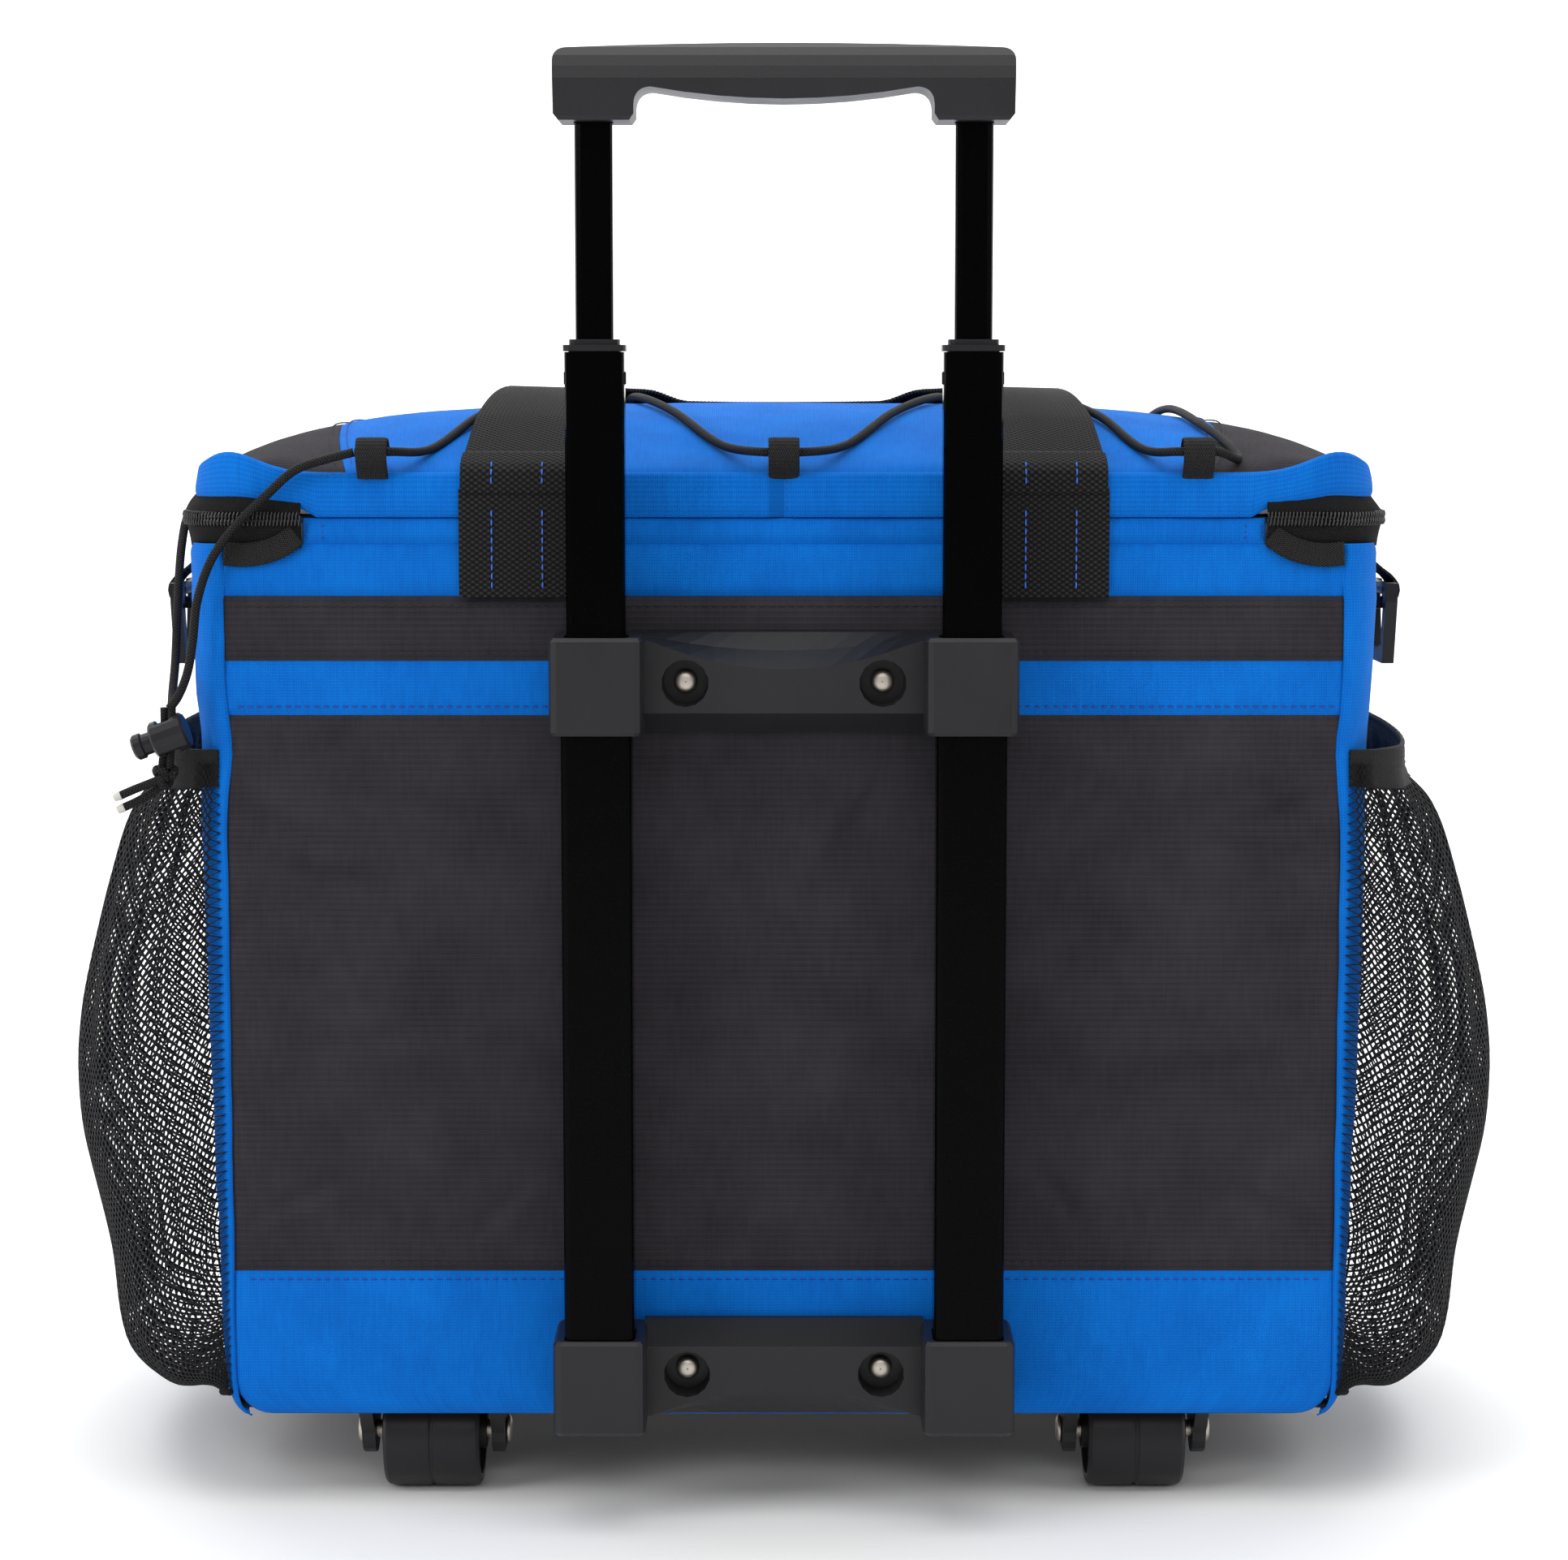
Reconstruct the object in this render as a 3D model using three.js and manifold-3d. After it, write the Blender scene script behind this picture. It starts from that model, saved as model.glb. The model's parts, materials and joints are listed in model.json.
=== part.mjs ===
// Soft-sided cooler on wheels: an insulated bag with a telescoping two-tube trolley handle on its
// rear face, two rear wheels, a front stand, a zip-round domed lid, netting side pockets, webbing
// carry handles, and a bungee cord laced over the lid.
// Units are millimetres and +Z is up. The trolley is at -Y, and +X is to the right seen from there.
import * as THREE from 'three';
import { mergeVertices } from 'three/addons/utils/BufferGeometryUtils.js';
import Module from 'manifold-3d';

const wasm = await Module();
wasm.setup();

// ---------------------------------------------------------------- driving dimensions
const Y_SHIFT = -112; // the rear panel's outer face lies here in the part frame

const PANEL_HALF = 189; // rear and front panel half width
const DEPTH = 250; // rear face to front face
const Z_BAG = 33.2; // underside of the bag
const Z_BODY = 332.9; // top edge of the side and front panels
const Z_REAR = 341.0; // top of the rear hinge flap
const BASE_TOP = 43.4; // top of the stiff base board
const SKIN = 2.5; // cover fabric with its backing
const W_LOW = 193, W_GROW = 10; // side half width at the bottom, and what it gains to the top
const FOAM = 8;
const LINER = 1.2;

const LID_HALF = 199; // lid band half width
const LID_EDGE_Z = 356; // top edge of the lid band
const LID_RISE = 23.4; // dome height over that edge
const LID_RIM_REAR = 341.4; // lower edge of the lid band at the rear
const LID_RIM_ZIP = 340.3; // lower edge of the upper zip tape

const TUBE_X = 62; // trolley tube centres
const TUBE_Y = -20.75;
const OUTER = { w: 23.3, d: 17.5, t: 1.0, z0: 36.6, z1: 300.6 };
const MIDDLE = { w: 19.5, d: 13.9, t: 1.0, z0: 146.5, z1: 396.5 };
const INNER = { w: 12.3, d: 8.5, t: 1.0, z0: 225, z1: 486 };
const CLEAR = 0.3;

const COLLAR = { w: 30.8, y0: -32, y1: -0.3, top: 303.2, h: 32.3, r: 2.2 };
const BRIDGE_T = 14; // how far the bracket's bridge stands off the rear panel
const RIVET_X = 33, RIVET_UP = 287, RIVET_LOW = 51.3, RIVET_R = 4, BORE_R = 8;

const GRIP_HALF = 74.5, GRIP_TOP = 496, GRIP_LUG_Z = 470.7;

const WHEEL_X = 123, WHEEL_Y = 30, WHEEL_R = 19.7, WHEEL_W = 33.6;
const LUG_OUT = 25, LUG_T = 4.6, AXLE_R = 3;

const STRAP_X0 = 72.2, STRAP_X1 = 108.2; // carry handle webbing, inner and outer edge
const CORD_R = 1.5;
const LOCK = [-206.8, -5.5, 268.6];

// ---------------------------------------------------------------- helpers
const group = new THREE.Group();
const rig = new THREE.Group();
rig.position.set(0, Y_SHIFT, 0);
group.add(rig);

const mat = {
  blue: [0x1560d0, 0.8, 0], black: [0x2d2c2e, 0.85, 0], foam: [0xd8d8d4, 0.9, 0], liner: [0xc9ccd0, 0.35, 0],
  board: [0x1c1c1c, 0.6, 0], tube: [0x08080a, 0.22, 0.4], plastic: [0x37373a, 0.5, 0], steel: [0xb9b2aa, 0.35, 1],
  rubber: [0x222224, 0.6, 0], webbing: [0x1b1b1c, 0.9, 0], net: [0x161617, 0.85, 0], cord: [0x101011, 0.7, 0], zip: [0x141415, 0.6, 0],
};
function add(name, geometry, look) {
  const [color, roughness, metalness] = mat[look];
  const mesh = new THREE.Mesh(geometry, new THREE.MeshStandardMaterial({ color, roughness, metalness }));
  mesh.name = name;
  rig.add(mesh);
  return mesh;
}
function solid(points, tris) {
  let v = 0;
  for (const [a, b, c] of tris) {
    const [ax, ay, az] = points[a], [bx, by, bz] = points[b], [cx, cy, cz] = points[c];
    v += ax * (by * cz - bz * cy) - ay * (bx * cz - bz * cx) + az * (bx * cy - by * cx);
  }
  const g = new THREE.BufferGeometry();
  g.setAttribute('position', new THREE.Float32BufferAttribute(points.flat(), 3));
  g.setIndex(tris.flatMap(([a, b, c]) => (v < 0 ? [a, c, b] : [a, b, c])));
  return g;
}
function toManifold(geometry) {
  let g = geometry.clone();
  for (const k of ['normal', 'uv']) if (g.getAttribute(k)) g.deleteAttribute(k);
  g = mergeVertices(g, 1e-4);
  return new wasm.Manifold(new wasm.Mesh({
    numProp: 3,
    vertProperties: new Float32Array(g.getAttribute('position').array),
    triVerts: new Uint32Array(g.index.array),
  }));
}
function fromManifold(m) {
  const mesh = m.getMesh(), n = mesh.numProp, p = [];
  for (let i = 0; i < mesh.vertProperties.length; i += n) p.push(mesh.vertProperties[i], mesh.vertProperties[i + 1], mesh.vertProperties[i + 2]);
  const g = new THREE.BufferGeometry();
  g.setAttribute('position', new THREE.Float32BufferAttribute(p, 3));
  g.setIndex(Array.from(mesh.triVerts));
  return g;
}
const cut = (a, ...bs) => bs.reduce((m, b) => m.subtract(toManifold(b)), toManifold(a));
const join = (...gs) => gs.slice(1).reduce((m, g) => m.add(toManifold(g)), toManifold(gs[0]));
function mirrorX(geometry) {
  const g = geometry.clone();
  g.scale(-1, 1, 1);
  const src = g.index ? Array.from(g.index.array) : [...Array(g.getAttribute('position').count).keys()];
  for (let i = 0; i < src.length; i += 3) [src[i + 1], src[i + 2]] = [src[i + 2], src[i + 1]];
  g.setIndex(src);
  return g;
}
// A solid through closed rings of equal length: open at neither end (each is closed by a fan).
function loft(rings, loop = false) {
  const n = rings[0].length, pts = rings.flat(), tris = [];
  const last = loop ? rings.length : rings.length - 1;
  for (let k = 0; k < last; k++) for (let i = 0; i < n; i++) {
    const a = k * n + i, b = k * n + ((i + 1) % n), kk = (k + 1) % rings.length;
    const c = kk * n + ((i + 1) % n), d = kk * n + i;
    // each quad folds along its higher diagonal, so that nested layers fold alike
    if (pts[a][2] + pts[c][2] >= pts[b][2] + pts[d][2]) tris.push([a, b, c], [a, c, d]);
    else tris.push([a, b, d], [b, c, d]);
  }
  if (!loop) for (const [k, flip] of [[0, true], [rings.length - 1, false]]) {
    const r = rings[k], m = [0, 1, 2].map((j) => r.reduce((s, p) => s + p[j], 0) / n);
    pts.push(m);
    const c = pts.length - 1;
    for (let i = 0; i < n; i++) {
      const a = k * n + i, b = k * n + ((i + 1) % n);
      tris.push(flip ? [c, b, a] : [c, a, b]);
    }
  }
  return solid(pts, tris);
}
// A solid sheet between two point grids of the same size, outer(u, v) and inner(u, v).
function sheet(outer, inner, us, vs) {
  const nu = us.length, nv = vs.length, pts = [], tris = [];
  for (const f of [outer, inner]) for (const u of us) for (const v of vs) pts.push(f(u, v));
  const id = (s, i, j) => s * nu * nv + i * nv + j;
  const quad = (a, b, c, d) => tris.push([a, b, c], [a, c, d]);
  for (let i = 0; i < nu - 1; i++) for (let j = 0; j < nv - 1; j++) {
    quad(id(0, i, j), id(0, i + 1, j), id(0, i + 1, j + 1), id(0, i, j + 1));
    quad(id(1, i, j), id(1, i, j + 1), id(1, i + 1, j + 1), id(1, i + 1, j));
  }
  for (let i = 0; i < nu - 1; i++) {
    quad(id(0, i, 0), id(1, i, 0), id(1, i + 1, 0), id(0, i + 1, 0));
    quad(id(0, i, nv - 1), id(0, i + 1, nv - 1), id(1, i + 1, nv - 1), id(1, i, nv - 1));
  }
  for (let j = 0; j < nv - 1; j++) {
    quad(id(0, 0, j), id(0, 0, j + 1), id(1, 0, j + 1), id(1, 0, j));
    quad(id(0, nu - 1, j), id(1, nu - 1, j), id(1, nu - 1, j + 1), id(0, nu - 1, j + 1));
  }
  return solid(pts, tris);
}
const steps = (n) => Array.from({ length: n + 1 }, (_, i) => i / n);
function box(x0, x1, y0, y1, z0, z1) {
  const g = new THREE.BoxGeometry(x1 - x0, y1 - y0, z1 - z0);
  g.translate((x0 + x1) / 2, (y0 + y1) / 2, (z0 + z1) / 2);
  return g;
}
function roundRect(hx, hy, r, seg = 2) {
  const s = new THREE.Shape();
  const p = [];
  for (const [cx, cy, a0] of [[hx - r, hy - r, 0], [-hx + r, hy - r, 90], [-hx + r, -hy + r, 180], [hx - r, -hy + r, 270]])
    for (let k = 0; k <= seg; k++) {
      const a = ((a0 + (90 * k) / seg) * Math.PI) / 180;
      p.push(new THREE.Vector2(cx + r * Math.cos(a), cy + r * Math.sin(a)));
    }
  s.setFromPoints(p);
  return s;
}
const extrudeZ = (shape, z0, z1, x = 0, y = 0) => {
  const g = new THREE.ExtrudeGeometry(shape, { depth: z1 - z0, bevelEnabled: false, curveSegments: 8 });
  g.translate(x, y, z0);
  return g;
};
// A shape drawn in X and Z, extruded along Y from y0 to y1.
const extrudeY = (shape, y0, y1) => {
  const g = new THREE.ExtrudeGeometry(shape, { depth: y1 - y0, bevelEnabled: false, curveSegments: 8 });
  g.rotateX(Math.PI / 2);
  g.translate(0, y1, 0);
  return g;
};
// A shape drawn in Y and Z, extruded along X from x0 to x1.
const extrudeX = (shape, x0, x1) => {
  const g = new THREE.ExtrudeGeometry(shape, { depth: x1 - x0, bevelEnabled: false, curveSegments: 8 });
  g.rotateX(Math.PI / 2);
  g.rotateZ(Math.PI / 2);
  g.translate(x0, 0, 0);
  return g;
};
// A closed outline, always counter-clockwise.
function poly(pts) {
  const v = pts.map(([a, b]) => new THREE.Vector2(a, b));
  return new THREE.Shape(THREE.ShapeUtils.isClockWise(v) ? v.reverse() : v);
}
function ring(r, x, z, seg = 16) {
  const h = new THREE.Path();
  const p = [];
  for (let k = 0; k < seg; k++) p.push(new THREE.Vector2(x + r * Math.cos((2 * Math.PI * k) / seg), z + r * Math.sin((2 * Math.PI * k) / seg)));
  h.setFromPoints(p);
  return h;
}
// A turned solid about the line along Y through (x, z), from (radius, y) pairs.
function turnY(profile, x, z, seg = 14) {
  const g = new THREE.LatheGeometry(profile.map(([r, y]) => new THREE.Vector2(r, y)), seg);
  g.translate(x, 0, z);
  return fix(g);
}
// The same about the line along X through (y, z).
function turnX(profile, y, z, seg = 24, closed = false) {
  const pts = profile.map(([r, x]) => new THREE.Vector2(r, x));
  if (closed) pts.push(pts[0].clone());
  const g = new THREE.LatheGeometry(pts, seg);
  g.rotateZ(-Math.PI / 2);
  g.translate(0, y, z);
  return fix(g);
}
// Merges a geometry's vertices and turns its faces outward.
function fix(geometry) {
  let g = geometry.clone();
  for (const k of ['normal', 'uv']) if (g.getAttribute(k)) g.deleteAttribute(k);
  g = mergeVertices(g, 1e-4);
  const p = g.getAttribute('position'), pts = [], tris = [];
  for (let i = 0; i < p.count; i++) pts.push([p.getX(i), p.getY(i), p.getZ(i)]);
  const ix = g.index.array;
  for (let i = 0; i < ix.length; i += 3) if (ix[i] !== ix[i + 1] && ix[i + 1] !== ix[i + 2] && ix[i] !== ix[i + 2]) tris.push([ix[i], ix[i + 1], ix[i + 2]]);
  return solid(pts, tris);
}
// A cord's centre line as stations: close together in its bends and far apart where it is straight.
class Stations extends THREE.Curve {
  constructor(points) { super(); this.p = points; }
  getPoint(t) { const k = t * (this.p.length - 1), i = Math.min(this.p.length - 2, Math.floor(k)); return this.p[i].clone().lerp(this.p[i + 1], k - i); }
  getSpacedPoints() { return this.p.map((q) => q.clone()); }
  getTangentAt(u, target = new THREE.Vector3()) {
    const i = Math.round(u * (this.p.length - 1)), a = this.p[Math.max(0, i - 1)], b = this.p[i], c = this.p[Math.min(this.p.length - 1, i + 1)];
    const e = b.clone().sub(a).normalize(), f = c.clone().sub(b).normalize();
    return target.copy(e.add(f)).normalize();
  }
}
function thin(pts, tol) {
  const keep = new Set([0, pts.length - 1]), todo = [[0, pts.length - 1]];
  while (todo.length) {
    const [a, b] = todo.pop();
    let far = 0, at = -1;
    for (let i = a + 1; i < b; i++) {
      const d = new THREE.Line3(pts[a], pts[b]).closestPointToPoint(pts[i], true, new THREE.Vector3()).distanceTo(pts[i]);
      if (d > far) { far = d; at = i; }
    }
    if (far > tol) { keep.add(at); todo.push([a, at], [at, b]); }
  }
  return [...keep].sort((x, y) => x - y).map((i) => pts[i]);
}
function cordTube(points, r, tol = 0.35) {
  const curve = new THREE.CatmullRomCurve3(points.map((p) => new THREE.Vector3(...p)), false, 'centripetal');
  const fine = curve.getSpacedPoints(points.length * 12);
  const st = thin(fine, tol);
  const circle = new THREE.Shape();
  circle.setFromPoints(Array.from({ length: 8 }, (_, k) => new THREE.Vector2(r * Math.cos((Math.PI * k) / 4), r * Math.sin((Math.PI * k) / 4))));
  return fix(new THREE.ExtrudeGeometry(circle, { steps: st.length - 1, extrudePath: new Stations(st), bevelEnabled: false }));
}

// ---------------------------------------------------------------- the bag's outline
const halfWidth = (z) => W_LOW + W_GROW * Math.pow(Math.min(1, Math.max(0, (z - 33) / 300)), 0.8);
const cornerY = (z) => 10 + 12 * Math.min(1, Math.max(0, (z - 33) / 300));
// The outer side contour from the rear panel's edge to the front panel's: t runs 0 to 1.
const SIDE_T = [0, 0.055, 0.11, 0.16, 0.3, 0.5, 0.7, 0.84, 0.89, 0.945, 1];
function sideOuter(t, z, inset = 0) {
  const w = halfWidth(z), ry = cornerY(z);
  const front = t > 0.5, s = front ? 1 - t : t;
  let x, y;
  if (s <= 0.16) {
    const a = ((s / 0.16) * Math.PI) / 2;
    x = PANEL_HALF + 0.3 + (w - PANEL_HALF - 0.3 - inset) * Math.sin(a);
    y = ry - (ry - inset) * Math.cos(a);
  } else {
    const k = (s - 0.16) / 0.34;
    x = w - inset + 1.5 * Math.sin((k * Math.PI) / 2);
    y = ry + (DEPTH / 2 - ry) * k;
  }
  return [x, front ? DEPTH - y : y];
}
// x of the outer side face at a given y and z
function sideX(y, z) {
  const w = halfWidth(z), ry = cornerY(z), d = Math.min(y, DEPTH - y);
  if (d >= ry) return w + 1.5 * Math.sin((((d - ry) / (DEPTH / 2 - ry)) * Math.PI) / 2);
  const k = Math.max(0, 1 - ((ry - d) / ry) ** 2);
  return PANEL_HALF + 0.3 + (w - PANEL_HALF - 0.3) * Math.sqrt(k);
}
const domeF = (x, y) => Math.pow(Math.max(0, 1 - Math.pow(Math.abs(x) / LID_HALF, 3.6)), 0.6) * Math.max(0, 1 - Math.pow(Math.abs(y - 125) / 125, 2.2));
const domeZ = (x, y) => LID_EDGE_Z + LID_RISE * domeF(x, y);

// ---------------------------------------------------------------- cover panels
const rivetSpots = [[-RIVET_X, RIVET_UP], [RIVET_X, RIVET_UP], [-RIVET_X, RIVET_LOW], [RIVET_X, RIVET_LOW]];
{
  const s = poly([[-PANEL_HALF, Z_BAG], [PANEL_HALF, Z_BAG], [PANEL_HALF, Z_BODY], [161.4, Z_BODY], [161.4, Z_REAR], [-161.4, Z_REAR], [-161.4, Z_BODY], [-PANEL_HALF, Z_BODY]]);
  for (const [x, z] of rivetSpots) s.holes.push(ring(2.8, x, z, 12));
  add('back_panel', fix(extrudeY(s, 0, SKIN)), 'black');
  add('front_panel', box(-PANEL_HALF, PANEL_HALF, DEPTH - SKIN, DEPTH, Z_BAG, Z_BODY), 'black');
  const zs = [0, 0.2, 0.55, 1].map((k) => Z_BAG + (Z_BODY - Z_BAG) * k);
  const side = sheet(
    (t, z) => { const [x, y] = sideOuter(t, z); return [x, y, z]; },
    (t, z) => { const [x, y] = sideOuter(t, z, SKIN); return [x, y, z]; }, SIDE_T, zs);
  add('side_panel_right', side, 'blue');
  add('side_panel_left', mirrorX(side), 'blue');
  // the base sheet and board are open over the wheels, which stand up into the base
  const pb = [-1, 1].map((q) => toManifold(box(q * WHEEL_X - LUG_OUT - 0.4, q * WHEEL_X + LUG_OUT + 0.4, WHEEL_Y - 19.5, WHEEL_Y + 19.5, Z_BAG - 2, BASE_TOP + 2)));
  const openBase = (g) => fromManifold(toManifold(g).subtract(pb[0]).subtract(pb[1]));
  add('base_panel', openBase(box(-188.6, 188.6, SKIN + 0.3, DEPTH - SKIN - 0.3, Z_BAG, Z_BAG + SKIN)), 'black');
  const b = poly([[-165, 42], [165, 42], [165, 322], [-165, 322]]);
  for (const [x, z] of rivetSpots) b.holes.push(ring(2.8, x, z, 12));
  add('back_board', fix(extrudeY(b, SKIN + 0.3, SKIN + 2.5)), 'board');
  add('base_board', openBase(box(-183, 183, 9, DEPTH - 9, Z_BAG + SKIN + 0.3, BASE_TOP)), 'board');
}
// Insulation and liner: two nested open tubs.
const rectRing = (hx, y0, y1, r, z, seg = 3) => {
  const p = [], cy = (y0 + y1) / 2, hy = (y1 - y0) / 2;
  for (const [cx, sy, a0] of [[hx - r, hy - r, 0], [-hx + r, hy - r, 90], [-hx + r, -hy + r, 180], [hx - r, -hy + r, 270]])
    for (let k = 0; k <= seg; k++) {
      const a = ((a0 + (90 * k) / seg) * Math.PI) / 180;
      p.push([cx + r * Math.cos(a), cy + sy + r * Math.sin(a), z]);
    }
  return p;
};
function tub(inset, y0, y1, r, t, z0, z1) {
  const zs = [0, 0.15, 0.5, 1];
  const outer = zs.map((k) => { const z = z0 + (z1 - z0) * k; return rectRing(halfWidth(z) - inset, y0, y1, r, z); });
  const inner = zs.slice().reverse().map((k) => { const z = z0 + t + (z1 - z0 - t) * k; return rectRing(halfWidth(z) - inset - t, y0 + t, y1 - t, r - t, z); });
  return loft([...outer, ...inner]);
}
add('insulation_tub', tub(SKIN + 0.4, 7, DEPTH - SKIN - 0.4, 22, FOAM, BASE_TOP + 0.3, 339.5), 'foam');
add('liner_tub', tub(SKIN + 0.7 + FOAM, 7.3 + FOAM, DEPTH - SKIN - 0.7 - FOAM, 13.7, LINER, BASE_TOP + 0.6 + FOAM, 340.6), 'liner');

// ---------------------------------------------------------------- zip and lid
// Plan outline of the lid's edge, counter-clockwise from the rear left corner's end.
const edgePlan = [];
{
  const r = 22, xs = [-120, -60, 0, 60, 120];
  edgePlan.push([-LID_HALF + r, 0], [-164, 0], [-161.2, 0]);
  for (const x of xs) edgePlan.push([x, 0]);
  edgePlan.push([161.2, 0], [164, 0], [LID_HALF - r, 0]);
  for (const [cx, cy, a0] of [[LID_HALF - r, r, -90], [LID_HALF - r, DEPTH - r, 0], [-LID_HALF + r, DEPTH - r, 90], [-LID_HALF + r, r, 180]]) {
    for (let k = 1; k <= 2; k++) {
      const a = ((a0 + 45 * k) * Math.PI) / 180;
      if (a0 === 180 && k === 2) continue;
      edgePlan.push([cx + r * Math.cos(a), cy + r * Math.sin(a)]);
    }
    if (a0 === -90) for (const y of [70, 125, 180, DEPTH - r]) edgePlan.push([LID_HALF, y]);
    if (a0 === 0) for (const x of [...xs].reverse().concat(-LID_HALF + r)) edgePlan.push([x, DEPTH]);
    if (a0 === 90) for (const y of [180, 125, 70, r]) edgePlan.push([-LID_HALF, y]);
  }
}
const isRear = ([x, y]) => y === 0 && Math.abs(x) < 162;
// Outward plan normal of the edge at each outline point
const edgeNormal = edgePlan.map((p, i) => {
  const a = edgePlan[(i + edgePlan.length - 1) % edgePlan.length], b = edgePlan[(i + 1) % edgePlan.length];
  const d = [b[0] - a[0], b[1] - a[1]], l = Math.hypot(...d);
  return [d[1] / l, -d[0] / l];
});
const scaled = (s, inset) => edgePlan.map(([x, y], i) => {
  const ex = x - edgeNormal[i][0] * inset, ey = y - edgeNormal[i][1] * inset;
  return [ex * s, 125 + (ey - 125) * s];
});
const LEVELS = [1, 0.95, 0.82, 0.6, 0.3];
// Nested layers share their inner rings' plan places, and only the edge ring takes the extra inset.
const domeRings = (inset, drop) => LEVELS.map((s) => scaled(s, s === 1 ? inset : Math.min(inset, SKIN)).map(([x, y]) => [x, y, (s === 1 ? LID_EDGE_Z : domeZ(x, y)) - drop]));
{
  // outside: dome, band, and the upper zip tape flared out to the coil; then back up inside
  const offset = (out, z, rearOut, rearZ) => edgePlan.map((p, i) => {
    const o = isRear(p) ? rearOut : out[0] * edgeNormal[i][0] ** 2 + out[1] * edgeNormal[i][1] ** 2;
    return [p[0] + edgeNormal[i][0] * o, p[1] + edgeNormal[i][1] * o, isRear(p) ? rearZ : z];
  });
  const rings = [
    ...domeRings(0, 0).reverse(),
    offset([0, 0], 347.6, 0, 348), offset([5.2, 1.6], LID_RIM_ZIP, 0, LID_RIM_REAR),
    offset([2.9, -0.7], LID_RIM_ZIP, -SKIN, LID_RIM_REAR), offset([-SKIN, -SKIN], 346.5, -SKIN, 347.5),
    ...domeRings(SKIN, SKIN),
  ];
  add('lid_cover', loft(rings), 'blue');
  add('lid_foam', loft([...domeRings(SKIN + 0.6, SKIN + 0.4).reverse(), ...domeRings(SKIN + 0.6, SKIN + 0.4 + 9)]), 'foam');
  add('lid_liner', loft([...domeRings(SKIN + 0.8, SKIN + 9.7).reverse(), ...domeRings(SKIN + 0.8, SKIN + 9.7 + LINER)]), 'liner');
}
{
  // the lower zip tape runs from the rear left corner round the front to the rear right corner
  const path = [];
  const r = 22, w = 203;
  for (const x of [-164.2, -172]) path.push([x, 0, 0, -1]);
  const arc = (cx, cy, a0) => { for (let k = 0; k <= 4; k++) { const a = ((a0 - 22.5 * k) * Math.PI) / 180; path.push([cx + r * Math.cos(a), cy + r * Math.sin(a), Math.cos(a), Math.sin(a)]); } };
  arc(-w + r, r, 270); path.push([-w, 125, -1, 0]); arc(-w + r, DEPTH - r, 180);
  path.push([0, DEPTH, 0, 1]);
  arc(w - r, DEPTH - r, 90); path.push([w, 125, 1, 0]); arc(w - r, r, 0);
  for (const x of [172, 164.2]) path.push([x, 0, 0, -1]);
  const us = path.map((_, i) => i), at = (o, z) => (i) => [path[i][0] + path[i][2] * o, path[i][1] + path[i][3] * o, z];
  add('zip_tape', sheet((i, v) => at(0.2 + 1.3 * v, 333.2 + 6.7 * v)(i), (i, v) => at(-1.8 + 1.5 * v, 333.2 + 6.7 * v)(i), us, [0, 1]), 'zip');
}
// Zip sliders at the middle of the front run, each with a pull tab that hangs from its bridge.
for (const [side, s] of [['left', -1], ['right', 1]]) {
  const x = s * 9;
  const body = join(box(x - 5, x + 5, DEPTH + 1.9, DEPTH + 4.6, 335, 344.6), box(x - 1.5, x + 1.5, DEPTH + 4.2, DEPTH + 7.6, 342.4, 344.2), box(x - 1.5, x + 1.5, DEPTH + 6.4, DEPTH + 7.6, 337, 344.2));
  add(`zip_slider_${side}`, fromManifold(body), 'steel');
  // a flat tab with an eye at its top, round the slider's bridge
  const tab = poly([[x - 4, 316], [x + 4, 316], [x + 4.6, 320], [x + 3.6, 339.7], [x - 3.6, 339.7], [x - 4.6, 320]]);
  tab.holes.push(new THREE.Path([[x - 2.2, 332.5], [x - 2.2, 338.5], [x + 2.2, 338.5], [x + 2.2, 332.5]].map(([a, b]) => new THREE.Vector2(a, b))));
  add(`zip_pull_${side}`, fix(extrudeY(tab, DEPTH + 4.95, DEPTH + 6.05)), 'steel');
}

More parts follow.
